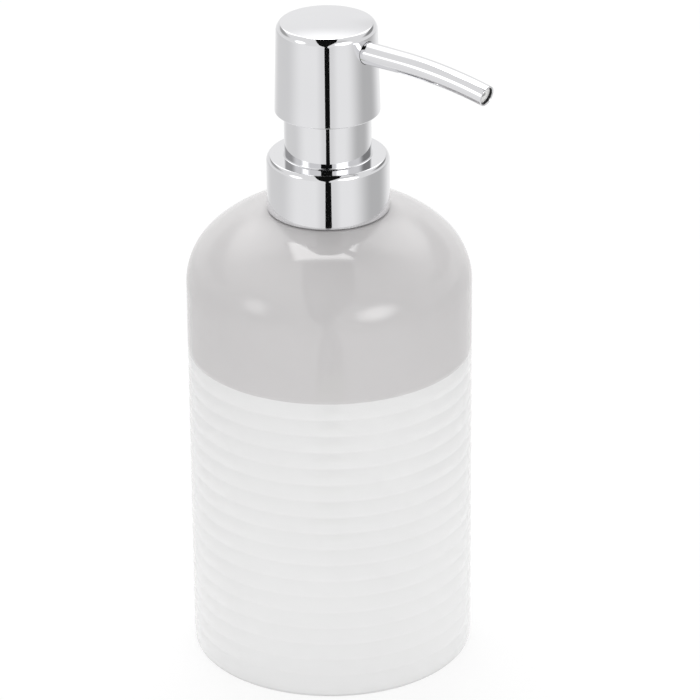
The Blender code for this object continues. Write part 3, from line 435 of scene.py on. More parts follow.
class Wiring:
    """Adds nodes to one tree. A feed is a value, or another node's output."""

    def __init__(self, tree):
        self.tree = tree

    def add(self, kind, feeds=None, **settings):
        node = self.tree.nodes.new(kind)
        for name, value in settings.items():
            setattr(node, name, value)
        for socket, value in (feeds or {}).items():
            if isinstance(value, bpy.types.NodeSocket):
                self.tree.links.new(value, node.inputs[socket])
            else:
                node.inputs[socket].default_value = value
        return node

    def link(self, output, node, socket):
        self.tree.links.new(output, node.inputs[socket])

    def math(self, operation, *values):
        return self.add("ShaderNodeMath", dict(enumerate(values)), operation=operation).outputs[0]

    def plus(self, first, second):
        return self.math("ADD", first, second)

    def minus(self, first, second):
        return self.math("SUBTRACT", first, second)

    def times(self, first, second):
        return self.math("MULTIPLY", first, second)

    def over(self, first, second):
        return self.math("DIVIDE", first, second)

    def axes(self, vector):
        return self.add("ShaderNodeSeparateXYZ", {0: vector}).outputs

    def vector(self, east, north, height):
        return self.add("ShaderNodeCombineXYZ", {0: east, 1: north, 2: height}).outputs[0]

    def size(self, vector):
        return self.add("ShaderNodeVectorMath", {0: vector}, operation="LENGTH").outputs["Value"]

    def scaled(self, vector, factor):
        feeds = {0: vector, "Scale": factor}
        return self.add("ShaderNodeVectorMath", feeds, operation="SCALE").outputs[0]

    def fitted(self, value, low, high, to_low, to_high, kind="SMOOTHSTEP"):
        """Value from low to high, fitted to run between two other values and held at them."""
        feeds = {"Value": value, "From Min": low, "From Max": high, "To Min": to_low, "To Max": to_high}
        return self.add("ShaderNodeMapRange", feeds, interpolation_type=kind).outputs["Result"]

    def blend(self, factor, first, second):
        feeds = {"Factor": factor, 6: first, 7: second}
        return self.add("ShaderNodeMix", feeds, data_type="RGBA").outputs[2]

    def noise(self, size, vector, **more):
        """Noise whose grains have a size in metres."""
        feeds = {"Vector": vector, "Scale": self.over(1, size)} | more
        return self.add("ShaderNodeTexNoise", feeds).outputs[0]

    def skinned(self, geometry, paint):
        """Geometry with its instances made real, and a material on all of it."""
        real = self.add("GeometryNodeRealizeInstances", {0: geometry}).outputs[0]
        return self.add("GeometryNodeSetMaterial", {"Geometry": real, "Material": paint}).outputs[0]

    def sweep(self, path, resolution, radius, **more):
        """Round bar along a path, with closed ends."""
        feeds = {"Resolution": resolution, "Radius": radius}
        ring = self.add("GeometryNodeCurvePrimitiveCircle", feeds).outputs[0]
        feeds = {"Curve": path, "Profile Curve": ring, "Fill Caps": True} | more
        return self.add("GeometryNodeCurveToMesh", feeds).outputs[0]

    def give(self, value):
        """Ends a node group with its one output, and sets its nodes out."""
        self.add("NodeGroupOutput", {0: value})
        lay_out(self.tree)
        return self.tree


def lay_out(tree):
    """Sets the nodes out in columns, from the inputs on the left to the output on the right."""
    depth = {}

    def place(node, column):
        if depth.get(node, -1) >= column:
            return
        depth[node] = column
        for socket in node.inputs:
            for link in socket.links:
                place(link.from_node, column + 1)

    for node in tree.nodes:
        if not any(socket.links for socket in node.outputs):
            place(node, 0)
    rows = {}
    for node, column in depth.items():
        rows[column] = rows.get(column, 0) + 1
        node.location = (-NODE_COLUMN * column, -NODE_ROW * rows[column])


def new_tree(kind, name, inputs, output, output_kind):
    """Wiring and inputs of a node group. Each input is a number, or the word for another kind of socket."""
    tree = bpy.data.node_groups.new(name, kind)
    for label, default in inputs.items():
        if isinstance(default, str):
            tree.interface.new_socket(label, in_out="INPUT", socket_type="NodeSocket" + default)
            continue
        socket_type = "NodeSocketInt" if isinstance(default, int) else "NodeSocketFloat"
        tree.interface.new_socket(label, in_out="INPUT", socket_type=socket_type).default_value = default
    tree.interface.new_socket(output, in_out="OUTPUT", socket_type="NodeSocket" + output_kind)
    wire = Wiring(tree)
    return wire, wire.add("NodeGroupInput").outputs


def blank_material(name):
    """Material without nodes yet, and the wiring of its tree."""
    made = bpy.data.materials.new(name)
    made.use_nodes = True
    made.node_tree.nodes.clear()
    return made, Wiring(made.node_tree)


def shape_by(piece, tree, values):
    """Runs a Geometry Nodes tree on a piece with its inputs set, and keeps the result as a plain mesh."""
    modifier = piece.modifiers.new(tree.name, "NODES")
    modifier.node_group = tree
    for item in tree.interface.items_tree:
        if item.item_type == "SOCKET" and item.in_out == "INPUT" and item.name in values:
            modifier[item.identifier] = values[item.name]
    settle(piece)


# Effects that several materials share


def clouding_group():
    """Slow change of a colour's brightness over the surface."""
    inputs = {"Vector": "Vector", "Color": "Color", "Size": 0.01, "Amount": 0.02}
    wire, given = new_tree("ShaderNodeTree", "Clouding", inputs, "Color", "Color")
    noise = wire.noise(given["Size"], given["Vector"], Detail=3)
    low, high = wire.minus(1, given["Amount"]), wire.plus(1, given["Amount"])
    return wire.give(wire.scaled(given["Color"], wire.fitted(noise, *CLOUDING_RANGE, low, high)))


def smudge_group():
    """Roughness that drifts between two values, as on a wiped surface."""
    inputs = {"Vector": "Vector", "Size": 0.01, "Least": 0.05, "Most": 0.1}
    wire, given = new_tree("ShaderNodeTree", "Smudges", inputs, "Roughness", "Float")
    noise = wire.noise(given["Size"], given["Vector"], Detail=4, Distortion=0.6)
    return wire.give(wire.fitted(noise, *SMUDGE_RANGE, given["Least"], given["Most"]))


def relief_group():
    """Height, in metres, of a gently uneven surface."""
    inputs = {"Vector": "Vector", "Size": 0.002, "Depth": 0.00001, "Detail": 1.0}
    wire, given = new_tree("ShaderNodeTree", "Relief", inputs, "Height", "Float")
    noise = wire.noise(given["Size"], given["Vector"], Detail=given["Detail"])
    return wire.give(wire.times(noise, given["Depth"]))


class Finish:
    """A material under way: its Principled shader, its wiring, and the piece's own coordinates."""

    groups = {}

    def __init__(self, name, base, roughness, **sockets):
        self.material, self.wire = blank_material(name)
        self.material.diffuse_color = (*base, 1)
        feeds = {"Base Color": (*base, 1), "Roughness": roughness}
        self.shader = self.wire.add("ShaderNodeBsdfPrincipled", feeds | sockets)
        self.wire.add("ShaderNodeOutputMaterial", {"Surface": self.shader.outputs[0]})
        self.place = self.wire.add("ShaderNodeTexCoord").outputs["Object"]

    def effect(self, name, **feeds):
        """Output of one of the shared effects."""
        makers = {"Clouding": clouding_group, "Smudges": smudge_group, "Relief": relief_group}
        if name not in Finish.groups:
            Finish.groups[name] = makers[name]()
        feeds = {"Vector": self.place} | feeds
        return self.wire.add("ShaderNodeGroup", feeds, node_tree=Finish.groups[name]).outputs[0]

    def feed(self, socket, value):
        self.wire.link(value, self.shader, socket)

    def bump(self, height):
        """Feeds a height in metres to the shader as bump."""
        feeds = {"Height": height, "Strength": 1.0, "Distance": 1.0}
        self.feed("Normal", self.wire.add("ShaderNodeBump", feeds).outputs[0])

    def done(self):
        lay_out(self.material.node_tree)
        return self.material


# Materials


def glaze(settings, inside):
    """Glossy glaze. Outside it is grey above the glaze line and white below, with bare clay at the foot."""
    finish = Finish("white_glaze_inside" if inside else "two_tone_glaze", settings.white_glaze, 0.08, IOR=1.5)
    wire = finish.wire
    white = finish.effect("Clouding", Color=(*settings.white_glaze, 1), Size=0.03, Amount=0.008)
    gloss = finish.effect("Smudges", Size=0.02, Least=0.045, Most=0.075)
    waves = finish.effect("Relief", Size=0.009, Depth=0.00003, Detail=1.0)
    pores = finish.effect("Relief", Size=0.0012, Depth=0.0000012, Detail=2.0)
    height = wire.plus(waves, pores)
    if inside:
        finish.feed("Base Color", white)
        finish.feed("Roughness", gloss)
        finish.bump(height)
        return finish.done()
    grey = finish.effect("Clouding", Color=(*settings.grey_glaze, 1), Size=0.025, Amount=0.012)
    waver = finish.effect("Relief", Size=0.004, Depth=0.00008, Detail=2.0)
    glazed_height = wire.plus(wire.axes(finish.place)["Z"], waver)
    line = settings.glaze_line + GLAZE_WAVER
    over_line = wire.fitted(glazed_height, line - GLAZE_BLEED, line + GLAZE_BLEED, 0, 1)
    clay = finish.effect("Clouding", Color=(*settings.bare_clay, 1), Size=0.002, Amount=0.05)
    bare = wire.fitted(glazed_height, *BARE_RISE, 1, 0)
    glazes = wire.blend(over_line, white, grey)
    finish.feed("Base Color", wire.blend(bare, glazes, clay))
    finish.feed("Roughness", wire.plus(gloss, wire.times(bare, CLAY_ROUGHNESS)))
    grit = finish.effect("Relief", Size=0.0006, Depth=0.00004, Detail=3.0)
    finish.bump(wire.plus(height, wire.times(bare, grit)))
    return finish.done()


def plain_finish(name, base, roughness, clouding, smudges, relief, **sockets):
    """Material with one clouded colour, one wiped gloss and one relief."""
    finish = Finish(name, base, roughness, **sockets)
    finish.feed("Base Color", finish.effect("Clouding", Color=(*base, 1), **clouding))
    finish.feed("Roughness", finish.effect("Smudges", **smudges))
    finish.bump(finish.effect("Relief", **relief))
    return finish.done()


def chrome(settings):
    """Polished plating, faintly uneven and wiped."""
    clouding = {"Size": 0.012, "Amount": 0.006}
    smudges = {"Size": 0.008, "Least": 0.03, "Most": 0.055}
    relief = {"Size": 0.005, "Depth": 0.0000025, "Detail": 1.0}
    return plain_finish("chrome_plating", settings.chrome, 0.04, clouding, smudges, relief, Metallic=1.0)


def spout_throat():
    """Near-black satin ring just inside the spout's mouth: painted shade, which stands in for the shadowed
    gap in the mouth.
    """
    clouding = {"Size": 0.002, "Amount": 0.1}
    smudges = {"Size": 0.002, "Least": 0.38, "Most": 0.52}
    relief = {"Size": 0.0004, "Depth": 0.000003, "Detail": 2.0}
    return plain_finish("spout_throat", (0.006, 0.006, 0.007), 0.45, clouding, smudges, relief)


def spout_bore():
    """Pale satin liner inside the spout."""
    clouding = {"Size": 0.004, "Amount": 0.015}
    smudges = {"Size": 0.002, "Least": 0.45, "Most": 0.6}
    relief = {"Size": 0.0008, "Depth": 0.000002, "Detail": 1.0}
    return plain_finish("spout_bore", (0.93, 0.93, 0.92), 0.5, clouding, smudges, relief)


def white_plastic():
    """Opaque moulded plastic with a satin skin."""
    clouding = {"Size": 0.01, "Amount": 0.015}
    smudges = {"Size": 0.006, "Least": 0.32, "Most": 0.46}
    relief = {"Size": 0.0004, "Depth": 0.000004, "Detail": 3.0}
    return plain_finish("white_plastic", (0.82, 0.82, 0.80), 0.4, clouding, smudges, relief)


def natural_plastic():
    """Milky, slightly translucent plastic."""
    clouding = {"Size": 0.006, "Amount": 0.03}
    smudges = {"Size": 0.004, "Least": 0.28, "Most": 0.42}
    relief = {"Size": 0.0007, "Depth": 0.000006, "Detail": 2.0}
    milk = {"Subsurface Weight": 0.6, "Subsurface Radius": (0.004, 0.0042, 0.0044), "Subsurface Scale": 1.0}
    return plain_finish("natural_plastic", (0.72, 0.73, 0.72), 0.35, clouding, smudges, relief, **milk)


def seal_foam():
    """Closed-cell foam sheet: fine round cells, matt."""
    base = (0.75, 0.75, 0.73)
    finish = Finish("seal_foam", base, 0.8)
    feeds = {"Vector": finish.place, "Scale": FOAM_CELLS}
    cells = finish.wire.add("ShaderNodeTexVoronoi", feeds, feature="SMOOTH_F1")
    dimple = finish.wire.fitted(cells.outputs["Distance"], 0.0, 0.6, 0, 1)
    finish.feed("Base Color", finish.effect("Clouding", Color=(*base, 1), Size=0.003, Amount=0.04))
    finish.feed("Roughness", finish.effect("Smudges", Size=0.003, Least=0.72, Most=0.9))
    finish.bump(finish.wire.times(dimple, FOAM_DIMPLE))
    return finish.done()


def stainless_steel():
    """Drawn and tumbled stainless steel."""
    clouding = {"Size": 0.003, "Amount": 0.05}
    smudges = {"Size": 0.0015, "Least": 0.14, "Most": 0.3}
    relief = {"Size": 0.0003, "Depth": 0.0000015, "Detail": 3.0}
    return plain_finish("stainless_steel", (0.56, 0.56, 0.57), 0.2, clouding, smudges, relief, Metallic=1.0)


# Geometry Nodes


def rib_tree():
    """Carves ribs round a turned wall: shallow rounded crests that meet in narrow valleys."""
    inputs = {
        "Geometry": "Geometry",
        "Ribs Foot": 0.0,
        "Ribs Top": 0.1,
        "Rib Pitch": 0.005,
        "Rib Depth": 0.0003,
        "Wall Radius": 0.03,
        "Outer Material": "Material",
        "Inner Material": "Material",
    }
    wire, given = new_tree("GeometryNodeTree", "Ribs", inputs, "Geometry", "Geometry")
    axes = wire.axes(wire.add("GeometryNodeInputPosition").outputs[0])
    below = wire.minus(given["Ribs Top"], axes["Z"])
    along = wire.math("FRACT", wire.plus(wire.over(below, given["Rib Pitch"]), ROW_MARGIN))
    crest = wire.math("SINE", wire.times(along, math.pi))
    dip = wire.times(given["Rib Depth"], wire.minus(crest, 1))
    level = wire.vector(axes["X"], axes["Y"], 0.0)
    outward = wire.add("ShaderNodeVectorMath", {0: level}, operation="NORMALIZE").outputs[0]
    under_top = wire.math("GREATER_THAN", below, -HEIGHT_MARGIN)
    over_foot = wire.math("GREATER_THAN", axes["Z"], wire.minus(given["Ribs Foot"], HEIGHT_MARGIN))
    on_wall = wire.math("GREATER_THAN", wire.size(level), wire.minus(given["Wall Radius"], WALL_MARGIN))
    ribbed = wire.times(wire.times(under_top, over_foot), on_wall)
    feeds = {"Geometry": given["Geometry"], "Selection": ribbed, "Offset": wire.scaled(outward, dip)}
    carved = wire.add("GeometryNodeSetPosition", feeds).outputs[0]
    glazed = wire.skinned(carved, given["Outer Material"])
    inside = wire.add("GeometryNodeInputNamedAttribute", {"Name": "inside"}, data_type="BOOLEAN").outputs[0]
    feeds = {"Geometry": glazed, "Selection": inside, "Material": given["Inner Material"]}
    return wire.give(wire.add("GeometryNodeSetMaterial", feeds).outputs[0])


def helix(wire, points, turns, radius, height):
    """Curve of that many points round the Z axis, whose turns and height follow the share along it."""
    line = wire.add("GeometryNodeCurvePrimitiveLine").outputs[0]
    even = wire.add("GeometryNodeResampleCurve", {"Curve": line, "Count": points}).outputs[0]
    turn = wire.times(turns, FULL_TURN)
    east, north = (wire.times(radius, wire.math(kind, turn)) for kind in ("COSINE", "SINE"))
    feeds = {"Geometry": even, "Position": wire.vector(east, north, height)}
    return wire.add("GeometryNodeSetPosition", feeds).outputs[0]


def thread_tree():
    """Adds a rounded screw thread that fades out at both ends, on a wall outside or inside."""
    inputs = {
        "Geometry": "Geometry",
        "Path Radius": 0.012,
        "Foot": 0.1,
        "Pitch": 0.003,
        "Turns": 1.5,
        "Ridge": 0.0007,
        "Points": 120,
        "Material": "Material",
    }
    wire, given = new_tree("GeometryNodeTree", "Thread", inputs, "Geometry", "Geometry")
    along = wire.add("GeometryNodeSplineParameter").outputs["Factor"]
    turns = wire.times(along, given["Turns"])
    height = wire.plus(given["Foot"], wire.times(turns, given["Pitch"]))
    path = helix(wire, given["Points"], turns, given["Path Radius"], height)
    to_end = wire.math("MINIMUM", along, wire.minus(1, along))
    faded = wire.fitted(to_end, 0, THREAD_FADE, THREAD_END, 1)
    ridge = wire.sweep(path, THREAD_BAR_SEGMENTS, given["Ridge"], Scale=faded)
    union = wire.add("GeometryNodeMeshBoolean", operation="UNION", solver="EXACT")
    wire.link(given["Geometry"], union, 1)
    wire.link(ridge, union, 1)
    return wire.give(wire.skinned(union.outputs[0], given["Material"]))


def spring_tree():
    """Coil spring with one closed turn at each end."""
    inputs = {
        "Geometry": "Geometry",
        "Foot": 0.0,
        "Height": 0.02,
        "Coil Radius": 0.004,
        "Wire": 0.001,
        "End Gap": 0.0005,
        "Active Turns": 6.0,
        "Points": 400,
        "Material": "Material",
    }
    wire, given = new_tree("GeometryNodeTree", "Spring", inputs, "Geometry", "Geometry")
    along = wire.add("GeometryNodeSplineParameter").outputs["Factor"]
    turns = wire.times(along, wire.plus(given["Active Turns"], 2))
    end_rise = wire.plus(given["Wire"], given["End Gap"])
    closed = wire.plus(given["Wire"], wire.times(end_rise, 2))
    pitch = wire.over(wire.minus(given["Height"], closed), given["Active Turns"])
    after_first = wire.math("MINIMUM", wire.minus(turns, 1), given["Active Turns"])
    active = wire.math("MAXIMUM", after_first, 0)
    rise = wire.plus(wire.times(active, pitch), wire.times(wire.minus(turns, active), end_rise))
    half_wire = wire.times(given["Wire"], 0.5)
    height = wire.plus(wire.plus(given["Foot"], half_wire), rise)
    path = helix(wire, given["Points"], turns, given["Coil Radius"], height)
    coil = wire.sweep(path, SPRING_BAR_SEGMENTS, half_wire)
    return wire.give(wire.skinned(coil, given["Material"]))


# Pieces


MATERIALS = {}


def material(name):
    """One of the shared materials, made when it is first asked for."""
    scene = bpy.context.scene
    makers = {
        "glaze": lambda: glaze(scene.dispenser_bottle, False),
        "inner_glaze": lambda: glaze(scene.dispenser_bottle, True),
        "chrome": lambda: chrome(scene.dispenser_pump),
        "spout_throat": spout_throat,
        "spout_bore": spout_bore,
        "white_plastic": white_plastic,
        "natural_plastic": natural_plastic,
        "seal_foam": seal_foam,
        "stainless_steel": stainless_steel,
    }
    if name not in MATERIALS:
        MATERIALS[name] = makers[name]()
    return MATERIALS[name]


def dome_points(settings, inset, end_radius, steps):
    """Shoulder and dome, from the wall to a distance from the axis, set in from the outer face."""
    shoulder = (settings.radius - settings.shoulder_radius, settings.shoulder_start)
    offset = settings.shoulder_radius - settings.dome_radius
    turn = settings.shoulder_turn
    dome = (shoulder[0] + offset * math.cos(turn), shoulder[1] + offset * math.sin(turn))
    end = math.acos((end_radius - dome[0]) / (settings.dome_radius - inset))
    lower = arc(shoulder, settings.shoulder_radius - inset, 0, turn, steps)
    return lower + arc(dome, settings.dome_radius - inset, turn, end, steps)[1:]


def bottle_profile(settings):
    """Points from the floor's inside, over the mouth, to the middle of the foot, and how many are inside."""
    radius, line = settings.radius, settings.glaze_line
    mouth, neck, fillet = settings.mouth_radius, settings.neck_radius, settings.neck_fillet
    bore, floor, start = radius - settings.wall, settings.floor, settings.shoulder_start
    inner = rounded([(0, floor), (bore, floor, settings.floor_fillet), (bore, start)], closed=False)[:-1]
    inner += dome_points(settings, settings.wall, mouth, INNER_DOME_ROWS)
    outer = dome_points(settings, 0, neck, OUTER_DOME_ROWS)
    height = top("ceramic_bottle")
    lip = rounded([inner[-1], (mouth, height, fillet), (neck, height, fillet), outer[-1]], closed=False)[1:-1]
    roll = []
    for row in range(GLAZE_STEP_ROWS + 1):
        drop = row / GLAZE_STEP_ROWS
        roll.append((radius - settings.rib_depth * drop**2, line + settings.step_height * (1 - drop)))
    ribs = []
    for row in range(1, settings.rib_count * ROWS_PER_RIB + 1):
        ribs.append((radius, line - settings.rib_pitch * row / ROWS_PER_RIB))
    wall_foot = radius - settings.rib_depth
    ring_inside = radius - settings.foot_fillet - settings.foot_ring
    recess = settings.foot_recess
    corners = [
        (wall_foot, ribs[-1][1]),
        (wall_foot, 0, settings.foot_fillet),
        (ring_inside, 0, ROUND_EDGE),
        (ring_inside - recess, recess, ROUND_EDGE),
        (0, recess),
    ]
    underside = rounded(corners, closed=False)[2:]
    return inner + lip + outer[::-1] + roll + ribs + underside, len(inner)


class DISPENSER_OT_bottle(bpy.types.Operator):
    """Ceramic bottle: turned body, ribs carved by Geometry Nodes, and two glazes"""

    bl_idname = "dispenser.bottle"
    bl_label = "Ceramic Bottle"

    def execute(self, context):
        settings = context.scene.dispenser_bottle
        profile, inner_count = bottle_profile(settings)
        bottle = turned("glazed_bottle", profile, settings.segments, False)
        inside = bottle.data.attributes.new("inside", "BOOLEAN", "POINT")
        inner_points = 1 + (inner_count - 1) * settings.segments
        inside.data.foreach_set("value", [index < inner_points for index in range(len(bottle.data.vertices))])
        values = {
            "Ribs Foot": settings.glaze_line - settings.rib_count * settings.rib_pitch,
            "Ribs Top": settings.glaze_line,
            "Rib Pitch": settings.rib_pitch,
            "Rib Depth": settings.rib_depth,
            "Wall Radius": settings.radius,
            "Outer Material": material("glaze"),
            "Inner Material": material("inner_glaze"),
        }
        shape_by(bottle, rib_tree(), values)
        finish_piece(bottle, "bottle", "ceramic_bottle")
        return {"FINISHED"}


def add_thread(settings, piece, wall, side, foot):
    """Screw thread with its ridge sunk in a wall. Side is 1 for a thread inside, and -1 for one outside."""
    values = {
        "Path Radius": wall + side * (settings.thread_ridge - settings.thread_height),
        "Foot": foot,
        "Pitch": settings.thread_pitch,
        "Turns": THREAD_TURNS,
        "Ridge": settings.thread_ridge,
        "Material": material("white_plastic"),
    }
    shape_by(piece, thread_tree(), values)


class DISPENSER_OT_neck(bpy.types.Operator):
    """Threaded plastic neck in the bottle's mouth, and the foam seal on it"""

    bl_idname = "dispenser.neck"
    bl_label = "Threaded Neck"

    def execute(self, context):
        settings = context.scene.dispenser_pump
        outer, low, high = span("neck_insert")
        seat = top("ceramic_bottle") + SEAT_GAP
        flange_top = seat + INSERT_FLANGE
        plug = context.scene.dispenser_bottle.mouth_radius - SEAT_GAP
        wall = settings.neck_thread
        bore = wall - settings.neck_wall
        corners = [
            (wall, high, ROUND_EDGE),
            (wall, flange_top, SOFT_EDGE),
            (outer, flange_top, FLANGE_EDGE),
            (outer, seat, EDGE),
            (plug, seat, EDGE),
            (plug, low, WIDE_EDGE),
            (bore, low, EDGE),
            (bore, high, SOFT_EDGE),
        ]
        neck = turned("threaded_neck", rounded(corners, steps=4), CAP_SEGMENTS)
        add_thread(settings, neck, wall, -1, flange_top + NECK_THREAD_START)
        finish_piece(neck, "bottle", "neck_insert")
        outer, low, high = span("neck_gasket")
        corners = [
            (outer, high, THIN_EDGE),
            (outer, low, THIN_EDGE),
            (bore, low, HAIR_EDGE),
            (bore, high, HAIR_EDGE),
        ]
        gasket = turned("foam_gasket", rounded(corners), CAP_SEGMENTS)
        finish_piece(gasket, "pump", "neck_gasket", material("seal_foam"))
        return {"FINISHED"}


class DISPENSER_OT_closure(bpy.types.Operator):
    """Screw closure: plastic cap with its inner thread, hidden by the collar"""

    bl_idname = "dispenser.closure"
    bl_label = "Screw Closure"

    def execute(self, context):
        settings = context.scene.dispenser_pump
        outer, low, high = span("screw_closure")
        bore = outer - settings.closure_wall
        roof = high - CLOSURE_ROOF
        hole = settings.housing_radius + SEAT_GAP
        corners = [
            (outer, high, WIDE_EDGE),
            (outer, low, SOFT_EDGE),
            (bore, low, SOFT_EDGE),
            (bore, roof, ROUND_EDGE),
            (hole, roof, EDGE),
            (hole, high, EDGE),
        ]
        closure = turned("threaded_closure", rounded(corners, steps=4), CAP_SEGMENTS)
        add_thread(settings, closure, bore, 1, low + CLOSURE_THREAD_START)
        finish_piece(closure, "closure", "screw_closure")
        return {"FINISHED"}


class DISPENSER_OT_collar(bpy.types.Operator):
    """Chrome collar, and the sleeve that stands on it"""

    bl_idname = "dispenser.collar"
    bl_label = "Chrome Collar and Sleeve"

    def execute(self, context):
        settings = context.scene.dispenser_pump
        outer, low, high = span("collar_shell")
        bore, roof = outer - settings.chrome_wall, high - settings.collar_roof
        hole = settings.sleeve_radius + settings.seam
        corners = [
            *rim(outer, high, settings.collar_shoulder, settings.collar_edge, settings.rim_turn),
            (outer, low, EDGE),
            (bore, low, EDGE),
            (bore, roof, settings.collar_inside),
            (hole, roof),
            (hole, high),
        ]
        collar = turned("chrome_collar", rounded(corners), settings.segments)
        finish_piece(collar, "closure", "collar_shell", material("chrome"))
        wall, bead, bead_foot = settings.sleeve_radius, settings.sleeve_bead, high + BEAD_LIFT
        outer, low, high = span("stem_sleeve")
        inner = wall - settings.sleeve_wall
        flange_top = low + SLEEVE_FLANGE
        corners = [
            (wall, high, EDGE),
            *arc((wall + bead, bead_foot + bead), bead, math.pi, 1.5 * math.pi, BEAD_ROWS),
            (wall, bead_foot),
            (wall, flange_top),
            (outer, flange_top, HAIR_EDGE),
            (outer, low, HAIR_EDGE),
            (inner, low, HAIR_EDGE),
            (inner, high, EDGE),
        ]
        sleeve = turned("chrome_sleeve", rounded(corners), settings.segments)
        finish_piece(sleeve, "closure", "stem_sleeve", material("chrome"))
        return {"FINISHED"}


def tube_ring(centre, along, radius, segments=SPOUT_SEGMENTS):
    """Ring of points across a direction in the XZ plane."""
    across = Vector((0, 1, 0))
    upward = along.cross(across)
    turns = [FULL_TURN * step / segments for step in range(segments)]
    return [centre + radius * (math.cos(turn) * across + math.sin(turn) * upward) for turn in turns]


def drill(piece, name, start, end, height, radius, segments=SPOUT_SEGMENTS):
    """Takes a round hole along the X axis out of the piece."""
    near, far = Vector((start, 0, height)), Vector((end, 0, height))
    walls = [tube_ring(centre, SPOUTWARD, radius, segments) for centre in (near, far)]
    cutter = skin(name, [[near], *walls, [far]])
    modifier = piece.modifiers.new("cut", "BOOLEAN")
    modifier.operation = "DIFFERENCE"
    modifier.solver = "EXACT"
    modifier.object = cutter
    settle(piece)
    bpy.data.objects.remove(cutter)


def spout_stations(settings, start):
    """Centres and directions along the spout: level out of the button, then a gentle downward bend."""
    height, straight = settings.spout_height, settings.spout_straight
    stations = []
    for row in range(STRAIGHT_ROWS + 1):
        along = start + (straight - start) * row / STRAIGHT_ROWS
        stations.append((Vector((along, 0, height)), SPOUTWARD))
    full_bend = math.asin((settings.spout_reach - straight) / settings.spout_bend)
    for row in range(1, BEND_ROWS + 1):
        bend = full_bend * row / BEND_ROWS
        along = straight + settings.spout_bend * math.sin(bend)
        drop = settings.spout_bend * (1 - math.cos(bend))
        stations.append((Vector((along, 0, height - drop)), Vector((math.cos(bend), 0, -math.sin(bend)))))
    return stations


def spout_taper(settings):
    """How much the spout's radius shrinks for each metre away from its root."""
    return (settings.spout_root - settings.spout_tip) / (settings.spout_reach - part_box("spout_tube")[0].x)


def add_spout(settings):
    """Curved tube with a rounded lip, a near-black throat behind it that is painted shade, and a pale liner,
    in three materials.
    """
    root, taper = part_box("spout_tube")[0].x, spout_taper(settings)
    stations = spout_stations(settings, root)
    outside, inside = [], []
    for centre, along in stations[:-1]:
        radius = settings.spout_root - taper * (centre.x - root)
        outside.append(tube_ring(centre, along, radius))
        inside.append(tube_ring(centre, along, radius - settings.spout_wall))
    tip, ahead = stations[-1]
    lip = settings.spout_lip / 2
    mouth = settings.spout_tip - settings.spout_lip
    outside.append(tube_ring(tip - ahead * (lip * LIP_START), ahead, settings.spout_tip))
    for row in range(LIP_ROWS + 1):
        bend = math.pi / 2 - math.pi * row / LIP_ROWS
        centre = tip - ahead * (lip * (1 - math.cos(bend)))
        outside.append(tube_ring(centre, ahead, mouth + lip + lip * math.sin(bend)))
    outlet = settings.spout_outlet
    throat = []
    for depth, radius in (
        (-THROAT_CORNER, mouth),
        (0, mouth - THROAT_CORNER),
        (0, outlet + OUTLET_CHAMFER),
        (OUTLET_CHAMFER, outlet),
        (OUTLET_DEPTH, outlet),
    ):
        throat.append(tube_ring(tip - ahead * (settings.spout_throat + depth), ahead, radius))
    spout = skin("chrome_spout", outside + throat + inside[::-1], True)
    for name in ("chrome", "spout_throat", "spout_bore"):
        spout.data.materials.append(material(name))
    # The band of faces just inside the lip gets the painted shade of the mouth's gap; the liner and bore
    # behind it get the pale material
    painted_shade_face = (len(outside) - 1) * SPOUT_SEGMENTS
    bore_face = painted_shade_face + SPOUT_SEGMENTS
    for face in spout.data.polygons:
        face.material_index = int(face.index >= painted_shade_face) + int(face.index >= bore_face)
    finish_piece(spout, "head", "spout_tube")


class DISPENSER_OT_button(bpy.types.Operator):
    """Chrome button that is pressed, with the curved spout in its side"""

    bl_idname = "dispenser.button"
    bl_label = "Chrome Button and Spout"

    def execute(self, context):
        settings = context.scene.dispenser_pump
        outer, low, high = span("button_shell")
        wall, rim_radius, rim_height = settings.button_wall, settings.button_rim, high - settings.button_crown
        roof = rim_height - settings.button_roof
        shoulder, edge = settings.button_shoulder, settings.button_edge
        crown_reach = rim_radius - shoulder + (shoulder - edge) * math.cos(settings.rim_turn)
        slope = 2 * settings.button_crown / crown_reach
        lean = (outer - rim_radius) / (high - low)
        crown = []
        for row in range(CROWN_ROWS):
            along = row / CROWN_ROWS
            crown.append((crown_reach * along, high - settings.button_crown * along**2))
        corners = [
            *crown,
            *rim(rim_radius, rim_height, shoulder, edge, settings.rim_turn, lean, slope),
            (outer, low, SOFT_EDGE),
            (outer - wall, low, SOFT_EDGE),
            (rim_radius - wall, roof, settings.button_inside),
            (0, roof),
        ]
        button = turned("chrome_button", rounded(corners, closed=False, steps=12), settings.segments, False)
        from_root = rim_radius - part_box("spout_tube")[0].x
        hole = settings.spout_root - spout_taper(settings) * from_root + settings.spout_seam
        hub = reach("actuator_core") / 2
        drill(button, "spout_hole", hub, outer + CUT_OVERRUN, settings.spout_height, hole)
        finish_piece(button, "head", "button_shell", material("chrome"))
        add_spout(settings)
        return {"FINISHED"}


